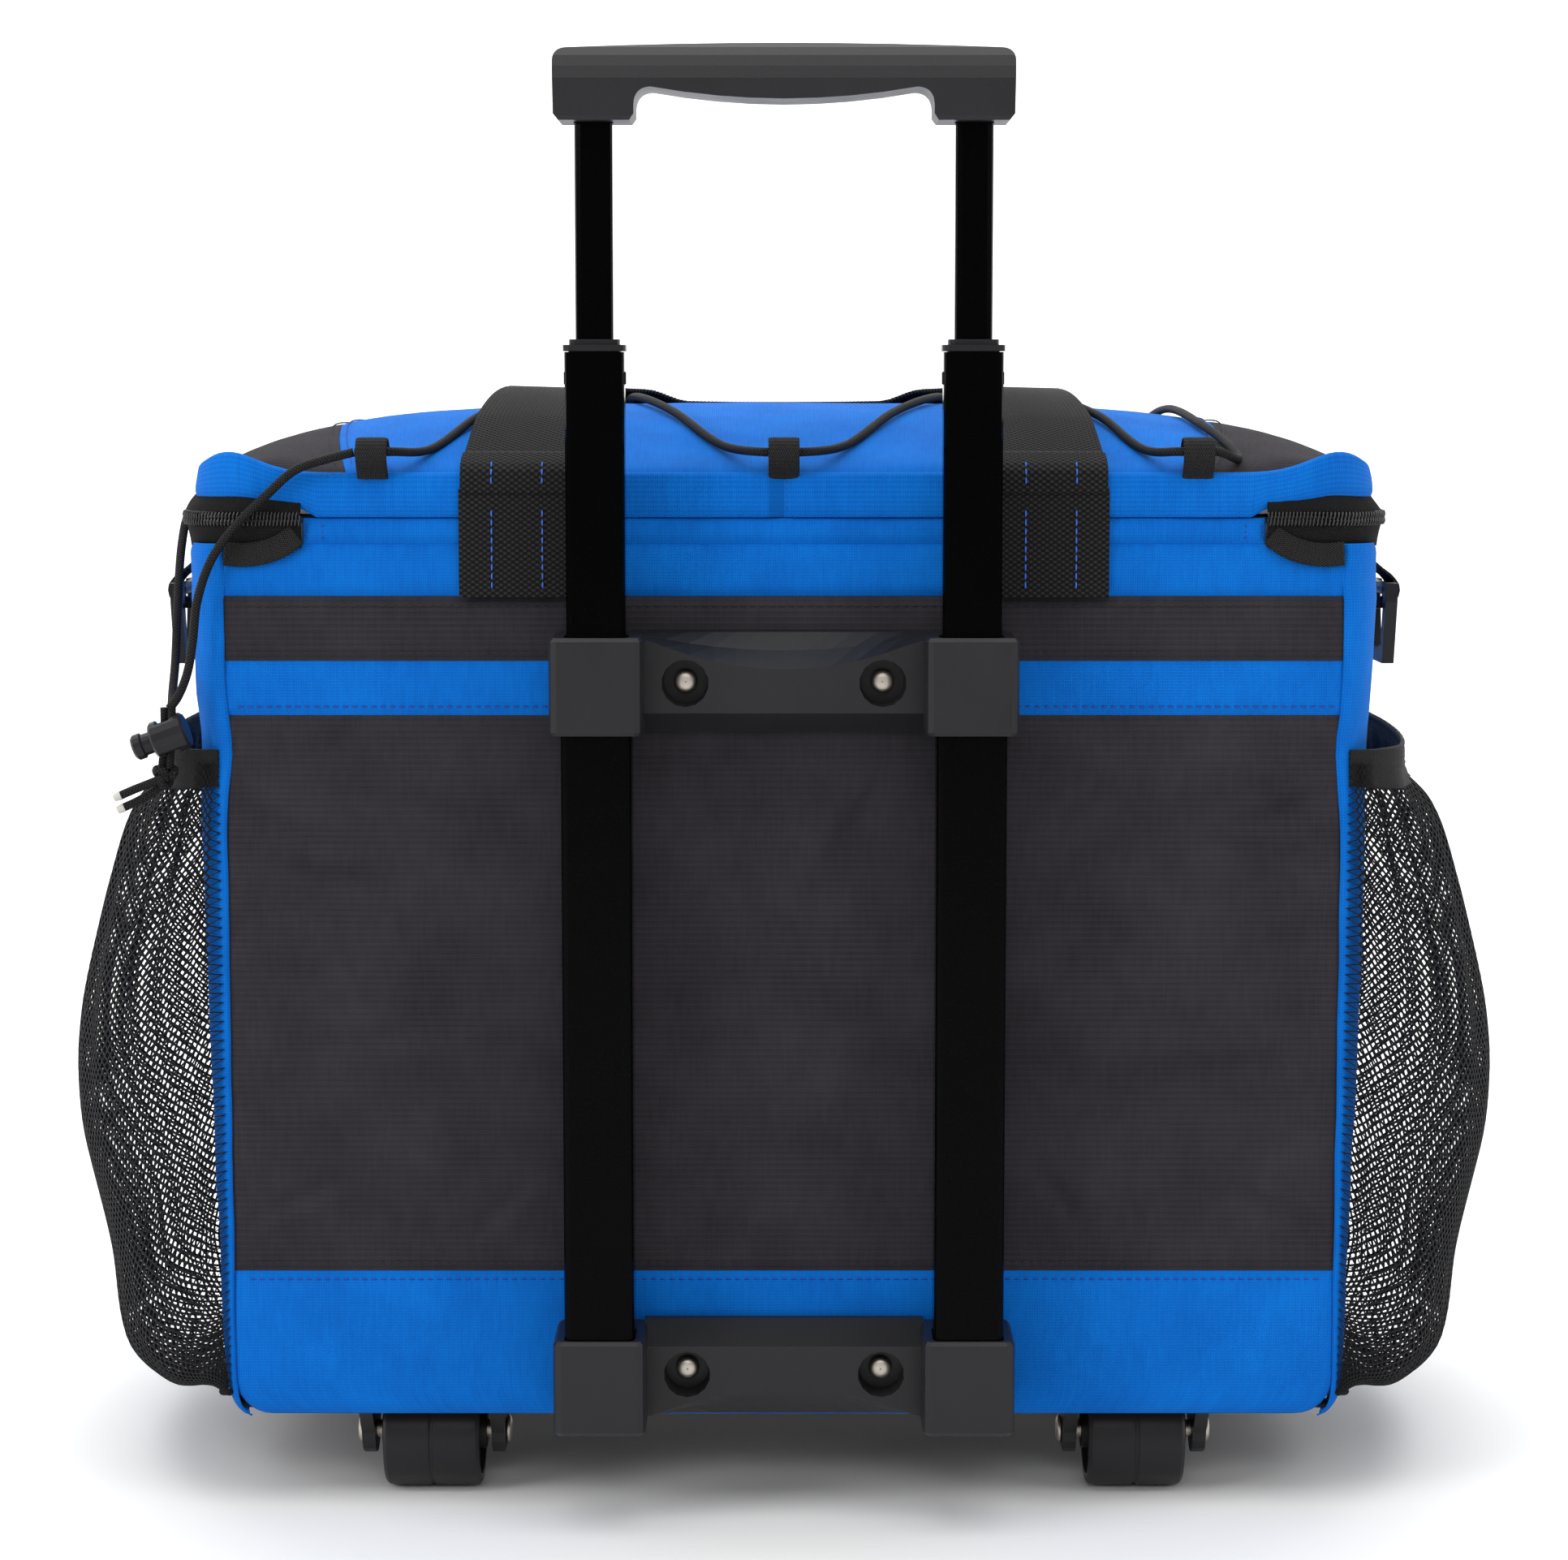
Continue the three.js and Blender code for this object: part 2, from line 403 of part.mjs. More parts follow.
// ---------------------------------------------------------------- trolley
const tubeShape = (t, grow = 0) => {
  const s = roundRect(t.w / 2 + grow, t.d / 2 + grow, 2 + grow, 2);
  return s;
};
function hollowTube(t) {
  const s = tubeShape(t);
  const h = roundRect(t.w / 2 - t.t, t.d / 2 - t.t, 1.2, 2);
  s.holes.push(new THREE.Path(h.getPoints()));
  return fix(extrudeZ(s, t.z0, t.z1, TUBE_X, TUBE_Y));
}
{
  const outer = hollowTube(OUTER);
  add('outer_tube_right', outer, 'tube');
  add('outer_tube_left', mirrorX(outer), 'tube');
  const snap = box(TUBE_X - 12, TUBE_X + 12, TUBE_Y - 2.3, TUBE_Y + 2.3, 385.7, 390.3);
  const middle = fromManifold(cut(hollowTube(MIDDLE), snap));
  add('middle_tube_right', middle, 'tube');
  add('middle_tube_left', mirrorX(middle), 'tube');
  // cap: rim, step, sleeve inside the tube, and a snap bump through each side hole
  const bore = extrudeZ(roundRect(INNER.w / 2 + CLEAR, INNER.d / 2 + CLEAR, 1.8, 2), 380, 402, TUBE_X, TUBE_Y);
  const sleeve = extrudeZ(roundRect(MIDDLE.w / 2 - 1.3, MIDDLE.d / 2 - 1.3, 1, 2), 383.5, 397.6, TUBE_X, TUBE_Y);
  const rim = extrudeZ(roundRect(10.2, 7.4, 2, 2), 396.8, 398.8, TUBE_X, TUBE_Y);
  const stepUp = extrudeZ(roundRect(8.2, 5.9, 1.8, 2), 398.7, 400.6, TUBE_X, TUBE_Y);
  const bumps = box(TUBE_X - 10.2, TUBE_X + 10.2, TUBE_Y - 2, TUBE_Y + 2, 386, 390);
  const cap = fromManifold(join(sleeve, rim, stepUp, bumps).subtract(toManifold(bore)));
  add('tube_cap_right', cap, 'plastic');
  add('tube_cap_left', mirrorX(cap), 'plastic');
  const bush = fromManifold(join(extrudeZ(roundRect(10.3, 7.4, 1.6, 2), 141.5, 146.2, TUBE_X, TUBE_Y), extrudeZ(roundRect(8.4, 5.6, 0.9, 2), 146, 154, TUBE_X, TUBE_Y)));
  add('slide_bush_right', bush, 'plastic');
  add('slide_bush_left', mirrorX(bush), 'plastic');
  const inner = hollowTube(INNER);
  add('inner_tube_right', inner, 'tube');
  add('inner_tube_left', mirrorX(inner), 'tube');
}
// Bracket: two collars round the tubes and a bridge between them, bevelled along one edge and
// scooped along the other. It is built for the upper place and turned over for the lower one.
function bracket(upper) {
  const zc = upper ? (z) => z : (z) => 338.0 - z; // heights in the upper bracket's own terms
  const top = COLLAR.top, bottom = COLLAR.top - COLLAR.h;
  const hx = TUBE_X - COLLAR.w / 2 + 1, us = Array.from({ length: 13 }, (_, i) => -hx + (2 * hx * i) / 12);
  const arc = (x) => { const R = 108.7; return 291.7 + R - Math.sqrt(R * R - x * x); };
  const zb = bottom - 1.0, zt = top + 0.2;
  const rows = [[zb, 3.2], [zb + 7.1, BRIDGE_T], ['arc', BRIDGE_T], ['mid', 0], [zt, 2.2]];
  const front = (x, j) => {
    const [z, d] = rows[j];
    const a = Math.min(arc(x), zt - 1.5);
    if (z === 'arc') return [x, -d, a];
    if (z === 'mid') return [x, -(2.2 + (BRIDGE_T - 2.2) * 0.42), a + (zt - a) * 0.5];
    return [x, -d, z];
  };
  const bridge = sheet((x, j) => front(x, j), (x, j) => [x, -0.3, front(x, j)[2]], us, [0, 1, 2, 3, 4]);
  let m = toManifold(bridge);
  for (const s of [-1, 1]) {
    const hy = (COLLAR.y1 - COLLAR.y0) / 2, cy = (COLLAR.y1 + COLLAR.y0) / 2;
    const lo = roundRect(COLLAR.w / 2 - 1, hy - 1, 2, 2), mid = roundRect(COLLAR.w / 2, hy, 2.6, 2);
    const slab = (shape, z) => shape.getPoints().slice(0, 12).map((p) => [p.x + s * TUBE_X, p.y + cy, z]);
    const collar = loft([slab(lo, bottom), slab(mid, bottom + 1.2), slab(mid, top - 1.2), slab(lo, top)]);
    m = m.add(toManifold(collar));
  }
  for (const s of [-1, 1]) {
    const hole = (w, d, z0, z1) => toManifold(extrudeZ(roundRect(w / 2, d / 2, 2.2, 2), z0, z1, s * TUBE_X, TUBE_Y));
    if (upper) m = m.subtract(hole(OUTER.w + 0.6, OUTER.d + 0.6, bottom - 3, 300.9)).subtract(hole(21.4, 15.6, 300, top + 3));
    else m = m.subtract(hole(OUTER.w + 0.6, OUTER.d + 0.6, bottom - 3, zc(36.3)));
    const rz = upper ? RIVET_UP : zc(RIVET_LOW);
    m = m.subtract(toManifold(turnY([[0, -20], [BORE_R + 0.3, -20], [BORE_R - 0.6, -4], [0, -4]], s * RIVET_X, rz)));
    m = m.subtract(toManifold(turnY([[0, -6], [2.8, -6], [2.8, 2], [0, 2]], s * RIVET_X, rz, 12)));
  }
  const g = fromManifold(m);
  if (!upper) { g.scale(1, 1, -1); g.translate(0, 0, 338.0); return fix(g); }
  return g;
}
add('upper_bracket', bracket(true), 'plastic');
add('lower_bracket', bracket(false), 'plastic');
for (const [name, x, z] of [['rivet_upper_left', -RIVET_X, RIVET_UP], ['rivet_upper_right', RIVET_X, RIVET_UP], ['rivet_lower_left', -RIVET_X, RIVET_LOW], ['rivet_lower_right', RIVET_X, RIVET_LOW]])
  add(name, turnY([[0, -7.4], [3.3, -7.4], [RIVET_R, -6.7], [RIVET_R, -4.3], [2.4, -4.3], [2.4, 5.3], [3.9, 5.3], [3.9, 6.5], [0, 6.5]], x, z, 12), 'steel');
{
  // grip: its front outline extruded along Y, kept inside a rounded section seen from the side
  const c = new THREE.Shape();
  const L = 48.5, g = GRIP_HALF;
  c.moveTo(-g, GRIP_LUG_Z + 2); c.lineTo(-g + 1.6, GRIP_LUG_Z); c.lineTo(-L - 1.4, GRIP_LUG_Z); c.lineTo(-L, GRIP_LUG_Z + 2);
  c.lineTo(-L, GRIP_LUG_Z + 5); c.quadraticCurveTo(-L + 0.3, 481, -L + 5.5, 481.2);
  c.quadraticCurveTo(0, 473.6, L - 5.5, 481.2);
  c.quadraticCurveTo(L - 0.3, 481, L, GRIP_LUG_Z + 5); c.lineTo(L, GRIP_LUG_Z + 2); c.lineTo(L + 1.4, GRIP_LUG_Z); c.lineTo(g - 1.6, GRIP_LUG_Z); c.lineTo(g, GRIP_LUG_Z + 2);
  c.lineTo(g + 0.3, GRIP_TOP - 6); c.quadraticCurveTo(g, GRIP_TOP - 2, g - 4, GRIP_TOP - 1.8);
  c.quadraticCurveTo(0, GRIP_TOP + 1.6, -g + 4, GRIP_TOP - 1.8); c.quadraticCurveTo(-g, GRIP_TOP - 2, -g - 0.3, GRIP_TOP - 6);
  const a = toManifold(extrudeY(c, TUBE_Y - 15, TUBE_Y + 15));
  const p = [];
  for (let k = 0; k <= 10; k++) { const t = (Math.PI * k) / 10; p.push([TUBE_Y + 13 * Math.cos(t), 484 + 12.6 * Math.sin(t)]); }
  p.push([TUBE_Y - 13, 472], [TUBE_Y - 11.4, 470], [TUBE_Y + 11.4, 470], [TUBE_Y + 13, 472]);
  const b = toManifold(extrudeX(poly(p), -80, 80));
  let m = a.intersect(b);
  for (const s of [-1, 1]) m = m.subtract(toManifold(extrudeZ(roundRect(INNER.w / 2 + CLEAR, INNER.d / 2 + CLEAR, 1.8, 2), 465, 486.4, s * TUBE_X, TUBE_Y)));
  add('handle_grip', fromManifold(m), 'plastic');
}

// ---------------------------------------------------------------- wheels and front stand
for (const [side, s] of [['left', -1], ['right', 1]]) {
  const u = [[s * WHEEL_X - LUG_OUT, BASE_TOP], [s * WHEEL_X - LUG_OUT, 13], [s * WHEEL_X - LUG_OUT + 1.2, 11.5], [s * WHEEL_X - LUG_OUT + LUG_T, 11.5], [s * WHEEL_X - LUG_OUT + LUG_T, 40.1],
    [s * WHEEL_X + LUG_OUT - LUG_T, 40.1], [s * WHEEL_X + LUG_OUT - LUG_T, 11.5], [s * WHEEL_X + LUG_OUT - 1.2, 11.5], [s * WHEEL_X + LUG_OUT, 13], [s * WHEEL_X + LUG_OUT, BASE_TOP]];
  const hang = [];
  for (let k = 0; k <= 8; k++) { const t = Math.PI + (Math.PI * k) / 8; hang.push([WHEEL_Y + 9 * Math.cos(t), 20.5 + 9 * Math.sin(t)]); }
  hang.push([WHEEL_Y + 19, 32], [WHEEL_Y + 19, 45], [WHEEL_Y - 19, 45], [WHEEL_Y - 19, 32]);
  const pin = turnX([[0, -40], [AXLE_R + 0.3, -40], [AXLE_R + 0.3, 40], [0, 40]], WHEEL_Y, WHEEL_R, 16);
  pin.translate(s * WHEEL_X, 0, 0);
  const fork = toManifold(extrudeY(poly(u), WHEEL_Y - 19, WHEEL_Y + 19)).intersect(toManifold(extrudeX(poly(hang), s * WHEEL_X - 40, s * WHEEL_X + 40))).subtract(toManifold(pin));
  add(`wheel_fork_${side}`, fromManifold(fork), 'plastic');
  const axle = turnX([[0, -27], [3.4, -27], [4.6, -26.2], [4.6, -25.3], [AXLE_R, -25.3], [AXLE_R, 25.3], [4.6, 25.3], [4.6, 26.2], [3.4, 27], [0, 27]], WHEEL_Y, WHEEL_R, 12);
  axle.translate(s * WHEEL_X, 0, 0);
  add(`axle_${side}`, axle, 'steel');
  const h = WHEEL_W / 2, R = WHEEL_R;
  const wheel = turnX([[AXLE_R + 0.3, -h - 1.6], [7, -h - 1.6], [7, -h + 5], [15.4, -h + 5], [16.2, -h], [R - 1.4, -h], [R, -h + 2.4], [R, h - 2.4], [R - 1.4, h], [16.2, h], [15.4, h - 5], [7, h - 5], [7, h + 1.6], [AXLE_R + 0.3, h + 1.6]], WHEEL_Y, WHEEL_R, 20, true);
  wheel.translate(s * WHEEL_X, 0, 0);
  add(`wheel_${side}`, wheel, 'rubber');
}
{
  const s = poly([[-158, 32.9], [-158, 28], [-150, 27], [-146, 0], [-114, 0], [-110, 27], [110, 27], [114, 0], [146, 0], [150, 27], [158, 28], [158, 32.9]]);
  add('front_stand', fix(extrudeY(s, 206, 230)), 'plastic');
}

// ---------------------------------------------------------------- netting pockets
{
  // (stand-off from the side, height) of the netting at mid depth, from its lower seam to its top edge
  const prof = [[0.4, 38], [14, 28], [29, 22.5], [46, 34], [52, 72], [60, 122], [58, 160], [46, 203], [33, 236], [20, 250], [18, 262.5]];
  const line = (j) => 40 + (262.5 - 40) * Math.pow(j / (prof.length - 1), 1.0);
  const swell = (u) => Math.pow(Math.sin(Math.PI * u), 0.5);
  const at = (t) => (u, j) => {
    const y = 3 + (DEPTH - 6) * u, s = swell(Math.min(1, Math.max(0, u)));
    const z = line(j) + s * (prof[j][1] - line(j));
    return [sideX(y, Math.max(z, 33.2)) + 0.5 + t + s * prof[j][0], y, z];
  };
  const us = [0, 0.03, 0.1, 0.22, 0.36, 0.5, 0.64, 0.78, 0.9, 0.97, 1];
  const pocket = sheet(at(1.3), at(0), us, prof.map((_, j) => j));
  add('mesh_pocket_right', pocket, 'net');
  add('mesh_pocket_left', mirrorX(pocket), 'net');
}

// ---------------------------------------------------------------- side rings and their tabs
for (const [side, s] of [['left', -1], ['right', 1]]) {
  const X = 212.6, Z = 314.5, yc = 70;
  // tab: a webbing strap sewn flat to the side and folded round the ring's bar
  const base = 206.2;
  const sh = poly([[base, 331], [base, 308], [X - 1, 308], [X + 3.4, 310], [X + 4.6, Z], [X + 3.4, Z + 4.4], [X, Z + 5.4], [X - 3.4, 322], [base + 1.6, 331]]);
  sh.holes.push(ring(2.9, X, Z, 12));
  const tab = fix(extrudeY(sh, yc - 12, yc + 12));
  add(`ring_tab_${side}`, s < 0 ? mirrorX(tab) : tab, 'webbing');
  // ring: bar through the tab, two side arms and a narrower lower bar, in the YZ plane
  const o = poly([[yc - 21, Z + 2.5], [yc + 21, Z + 2.5], [yc + 21, Z - 4], [yc + 15, 288.5], [yc - 15, 288.5], [yc - 21, Z - 4]]);
  o.holes.push(new THREE.Path([[yc - 15.5, Z - 2.5], [yc + 15.5, Z - 2.5], [yc + 11, 293.5], [yc - 11, 293.5]].map(([a, b]) => new THREE.Vector2(a, b))));
  const g = fix(extrudeX(o, X - 2.1, X + 2.1));
  const bar = toManifold(g).subtract(toManifold(box(X - 5, X + 5, yc - 12.5, yc + 12.5, Z - 5, Z + 5)));
  const pin = turnY([[0, yc - 14], [2.4, yc - 14], [2.4, yc + 14], [0, yc + 14]], X, Z, 10);
  const ringG = fromManifold(bar.add(toManifold(pin)));
  add(`side_ring_${side}`, s < 0 ? mirrorX(ringG) : ringG, 'plastic');
}

// ---------------------------------------------------------------- carry handles
for (const [side, s] of [['left', -1], ['right', 1]]) {
  const a = s < 0 ? -STRAP_X1 : STRAP_X0, b = s < 0 ? -STRAP_X0 : STRAP_X1;
  add(`strap_leg_${side}`, box(a, b, -2.6, -0.4, 315.5, 348.4), 'webbing');
}
{
  // rear carry handle: up the lid band, over its edge and flat on the dome in a U
  const H = (STRAP_X1 - STRAP_X0) / 2, XC = (STRAP_X0 + STRAP_X1) / 2, Y_TURN = 140;
  const stations = [];
  for (const [k, y] of [[0, -1.8], [1, -1.8], [2, -0.9], [3, 3]]) stations.push(['leg', y, [350.6, 355, 359, 360.6][k], k]);
  for (const y of [12, 25, 45, 75, 105, 125]) stations.push(['leg', y, null, 9]);
  const legs = stations.map(([, y, z, k]) => ({ x: XC, y, z, k }));
  const arcN = 12, path = [];
  for (const l of legs) path.push({ c: [-l.x, l.y], n: [-1, 0], z: l.z, k: l.k });
  for (let i = 0; i <= arcN; i++) {
    const a = Math.PI - (Math.PI * i) / arcN;
    path.push({ c: [XC * Math.cos(a), Y_TURN + 48 * Math.sin(a)], n: [Math.cos(a), Math.sin(a)], z: null, k: 9 });
  }
  for (const l of legs.slice().reverse()) path.push({ c: [l.x, l.y], n: [1, 0], z: l.z, k: l.k });
  // the turn lies flat on the dome; the legs stand off it, over the cord
  const ease = (k) => k * k * (3 - 2 * k);
  const lift = (x, y) => 0.7 + 4.0 * Math.min(1, Math.max(0, (y - 8) / 30)) * ease(Math.min(1, Math.max(0, (Math.abs(x) - 40) / 17)));
  const at = (t) => (i, v) => {
    const p = path[i], x = p.c[0] + p.n[0] * v * H;
    let y = p.c[1] + p.n[1] * v * H;
    if (p.z !== null) {
      // the vertical run and the bend over the lid's edge
      if (p.k < 2) return [x, y + (t ? -1.0 : 1.0), p.z];
      if (p.k === 2) return [x, y + (t ? -0.9 : 0.7), p.z + (t ? 0.5 : -1.6)];
      return [x, y, domeZ(x, 3) + 0.9 + (t ? 2 : 0)];
    }
    return [x, y, domeZ(x, y) + lift(x, y) + (t ? 2 : 0)];
  };
  const us = path.map((_, i) => i);
  add('handle_back', sheet((i, v) => at(1)(i, v), (i, v) => at(0)(i, v), us, [-1, -0.33, 0.33, 1]), 'webbing');
  // front carry handle: hangs down the front panel in a U
  const fp = [];
  for (const z of [311, 285, 260, 236]) fp.push({ c: [-XC, z], n: [-1, 0] });
  for (let i = 1; i < arcN; i++) { const a = Math.PI + (Math.PI * i) / arcN; fp.push({ c: [XC * Math.cos(a), 236 + 56 * Math.sin(a)], n: [Math.cos(a), Math.sin(a)] }); }
  for (const z of [236, 260, 285, 311]) fp.push({ c: [XC, z], n: [1, 0] });
  const ff = (y) => (i, v) => [fp[i].c[0] + fp[i].n[0] * v * H, y, fp[i].c[1] + fp[i].n[1] * v * H];
  add('handle_front', sheet(ff(DEPTH + 2.6), ff(DEPTH + 0.5), fp.map((_, i) => i), [-1, 1]), 'webbing');
}

// ---------------------------------------------------------------- bungee, its loops and cord lock
const over = (x, y, h = CORD_R + 0.9) => [x, y, domeZ(x, y) + h];
{
  // lacing: rear left loop, over to the front edge and back twice, then round the front, back along the lid's left edge over the zip, and down
  const route = [
    [-143.4, -2.6, 363.5], [-137, -2.6, 363.5], [-131.5, -2.5, 363.7], over(-121, 16), over(-107, 60), over(-95, 105), over(-86, 160), over(-80, 215), [-78, 237, 365.4], [-74, 244.4, 366.7], [-70, 237, 365.4], over(-67, 215), over(-59, 160), over(-51, 105), over(-38, 60), over(-20, 18),
    [-7, -0.7, 363.6], [0, -0.7, 363.6], [7, -0.7, 363.6], over(20, 18), over(38, 60), over(53, 105), over(62, 160), over(69, 215), [72, 237, 365.4], [76, 244.4, 366.7], [80, 237, 365.4], over(83, 215), over(92, 160), over(100, 105), over(111, 60), over(123, 16), [132, -0.7, 363.7], [138.5, -0.7, 363.7], [145, -0.6, 363.7],
    over(153, 9), over(152, 26), over(146, 60), over(142, 125), over(140, 200), [138, 234, 363.6], [130, 245.2, 363.1], [100, 245.2, 363.0], [50, 245.2, 363.0], [0, 245.2, 363.0], [-50, 245.2, 363.0], [-100, 245.2, 363.0], [-138, 245.2, 363.0],
    [-150, 245.8, 362.8], [-156.5, 248.6, 361.4], [-162, 252.0, 358.4], [-169, 252.8, 355], [-178, 252.9, 352.2], [-188.5, 250, 350.6], [-196.6, 243.3, 349.9], [-201.4, 233.5, 349.8], [-202.2, 222, 349.8], [-202.2, 190, 349.8], [-202.3, 125, 349.8], [-202.2, 64, 349.8],
    [-203.2, 57, 348.8], [-205.8, 50, 345.4], [-207.9, 45, 339.4], [-208.8, 40, 331], [-208.8, 34, 322], [-208.6, 27, 308], [-208.2, 19, 292], [-207.6, 9, 282.4], [-206.6, 1, 278.4],
  ];
  add('bungee_lacing', cordTube(route, CORD_R, 0.6), 'cord');
  const drop = [[-143.75, -2.6, 363.5], [-152, -3.6, 361.4], [-163, -4.6, 357.6], [-172.7, -4.6, 349.3], [-183.7, -4.8, 338.5], [-191.5, -5, 327.7], [-196.4, -5, 314.1], [-198.2, -5, 300.5], [-200.2, -5.2, 289.6], [-203.6, -5.6, 281.4], [-206.2, -6.6, 277.9]];
  add('bungee_drop', cordTube(drop, CORD_R), 'cord');
}
// Cord lock: a short upright barrel with a sprung button standing out of its left end
{
  const [lx, ly, lz] = LOCK, tilt = (-20 * Math.PI) / 180;
  const place = (g) => { g.rotateY(tilt); g.translate(lx, ly, lz); return g; };
  const lathe = (pts, seg = 16) => { const g = new THREE.LatheGeometry(pts.map(([r, x]) => new THREE.Vector2(r, x)), seg); g.rotateZ(-Math.PI / 2); return fix(g); };
  const barrel = lathe([[0, 6.6], [5.6, 6.6], [6.4, 5.8], [6.4, -4.6], [5.6, -5.4], [0, -5.4]]);
  const well = lathe([[0, -20], [4.1, -20], [4.1, 4.4], [0, 4.4]]);
  const slot = box(-2.6, 2.6, -3.6, 3.6, -12, 12);
  add('cord_lock_barrel', place(fromManifold(cut(barrel, well, slot))), 'plastic');
  const button = lathe([[0, -1.2], [3.7, -1.2], [3.7, -6.6], [4.4, -7.2], [4.4, -9.6], [3.6, -10.4], [0, -10.4]]);
  button.translate(-2.0, 0, 0);
  add('cord_lock_button', place(button), 'plastic');
}
{
  const ball = loft([-78, -45, 0, 45, 78].map((d) => { const a = (d * Math.PI) / 180; return Array.from({ length: 10 }, (_, k) => [-208.2 + 4.2 * Math.cos(a) * Math.cos((Math.PI * k) / 5), -6 + 3.8 * Math.cos(a) * Math.sin((Math.PI * k) / 5), 255.6 + 3.6 * Math.sin(a)]); }));
  const tail = cordTube([[-208.2, -6, 255.6], [-213, -6.4, 252.6], [-219, -6.8, 249.4], [-224.3, -7, 246.8]], CORD_R);
  const up = cordTube([[-207.9, -6, 256], [-207.6, -5.9, 258.5], [-207.4, -5.8, 260.4]], CORD_R);
  add('bungee_knot', fromManifold(toManifold(ball).add(toManifold(tail)).add(toManifold(up))), 'cord');
}
for (const [name, x] of [['lid_loop_left', -137.5], ['lid_loop_centre', 0], ['lid_loop_right', 138.5]]) {
  // a webbing loop standing on the lid's rear edge: its section in Y and Z, 10.4 mm wide
  const y0 = x < -1 ? -1.9 : 0;
  const c = [[-1.3, 353.0], [-0.5, 353.0], [-0.5, 357.6], [2.6, 359.8], [8.6, 361.6], [8.9, 363.0], [3.6, 366.8], [-0.7, 368.4], [-4.6, 367.0], [-5.7, 363.2], [-4.6, 359.4], [-1.3, 357.2]];
  const s = poly(c.map(([a, b]) => [a + y0, b]));
  s.holes.push(ring(2.7, -0.7 + y0, 363.6, 10));
  add(name, fix(extrudeX(s, x - 5.2, x + 5.2)), 'webbing');
}
{
  // daisy strip along the lid's front edge: it holds the cord under it
  const s = [[242.4, 360.0], [249.9, 356.8], [250.6, 359.4], [249.6, 367.4], [246.0, 370.4], [241.4, 369.8], [241.2, 368.6], [245.4, 369.0], [248.2, 366.6], [249.0, 360.4], [242.8, 361.1]];
  add('lid_loop_strip', fix(extrudeX(poly(s), -150, 150)), 'webbing');
}

export default group;
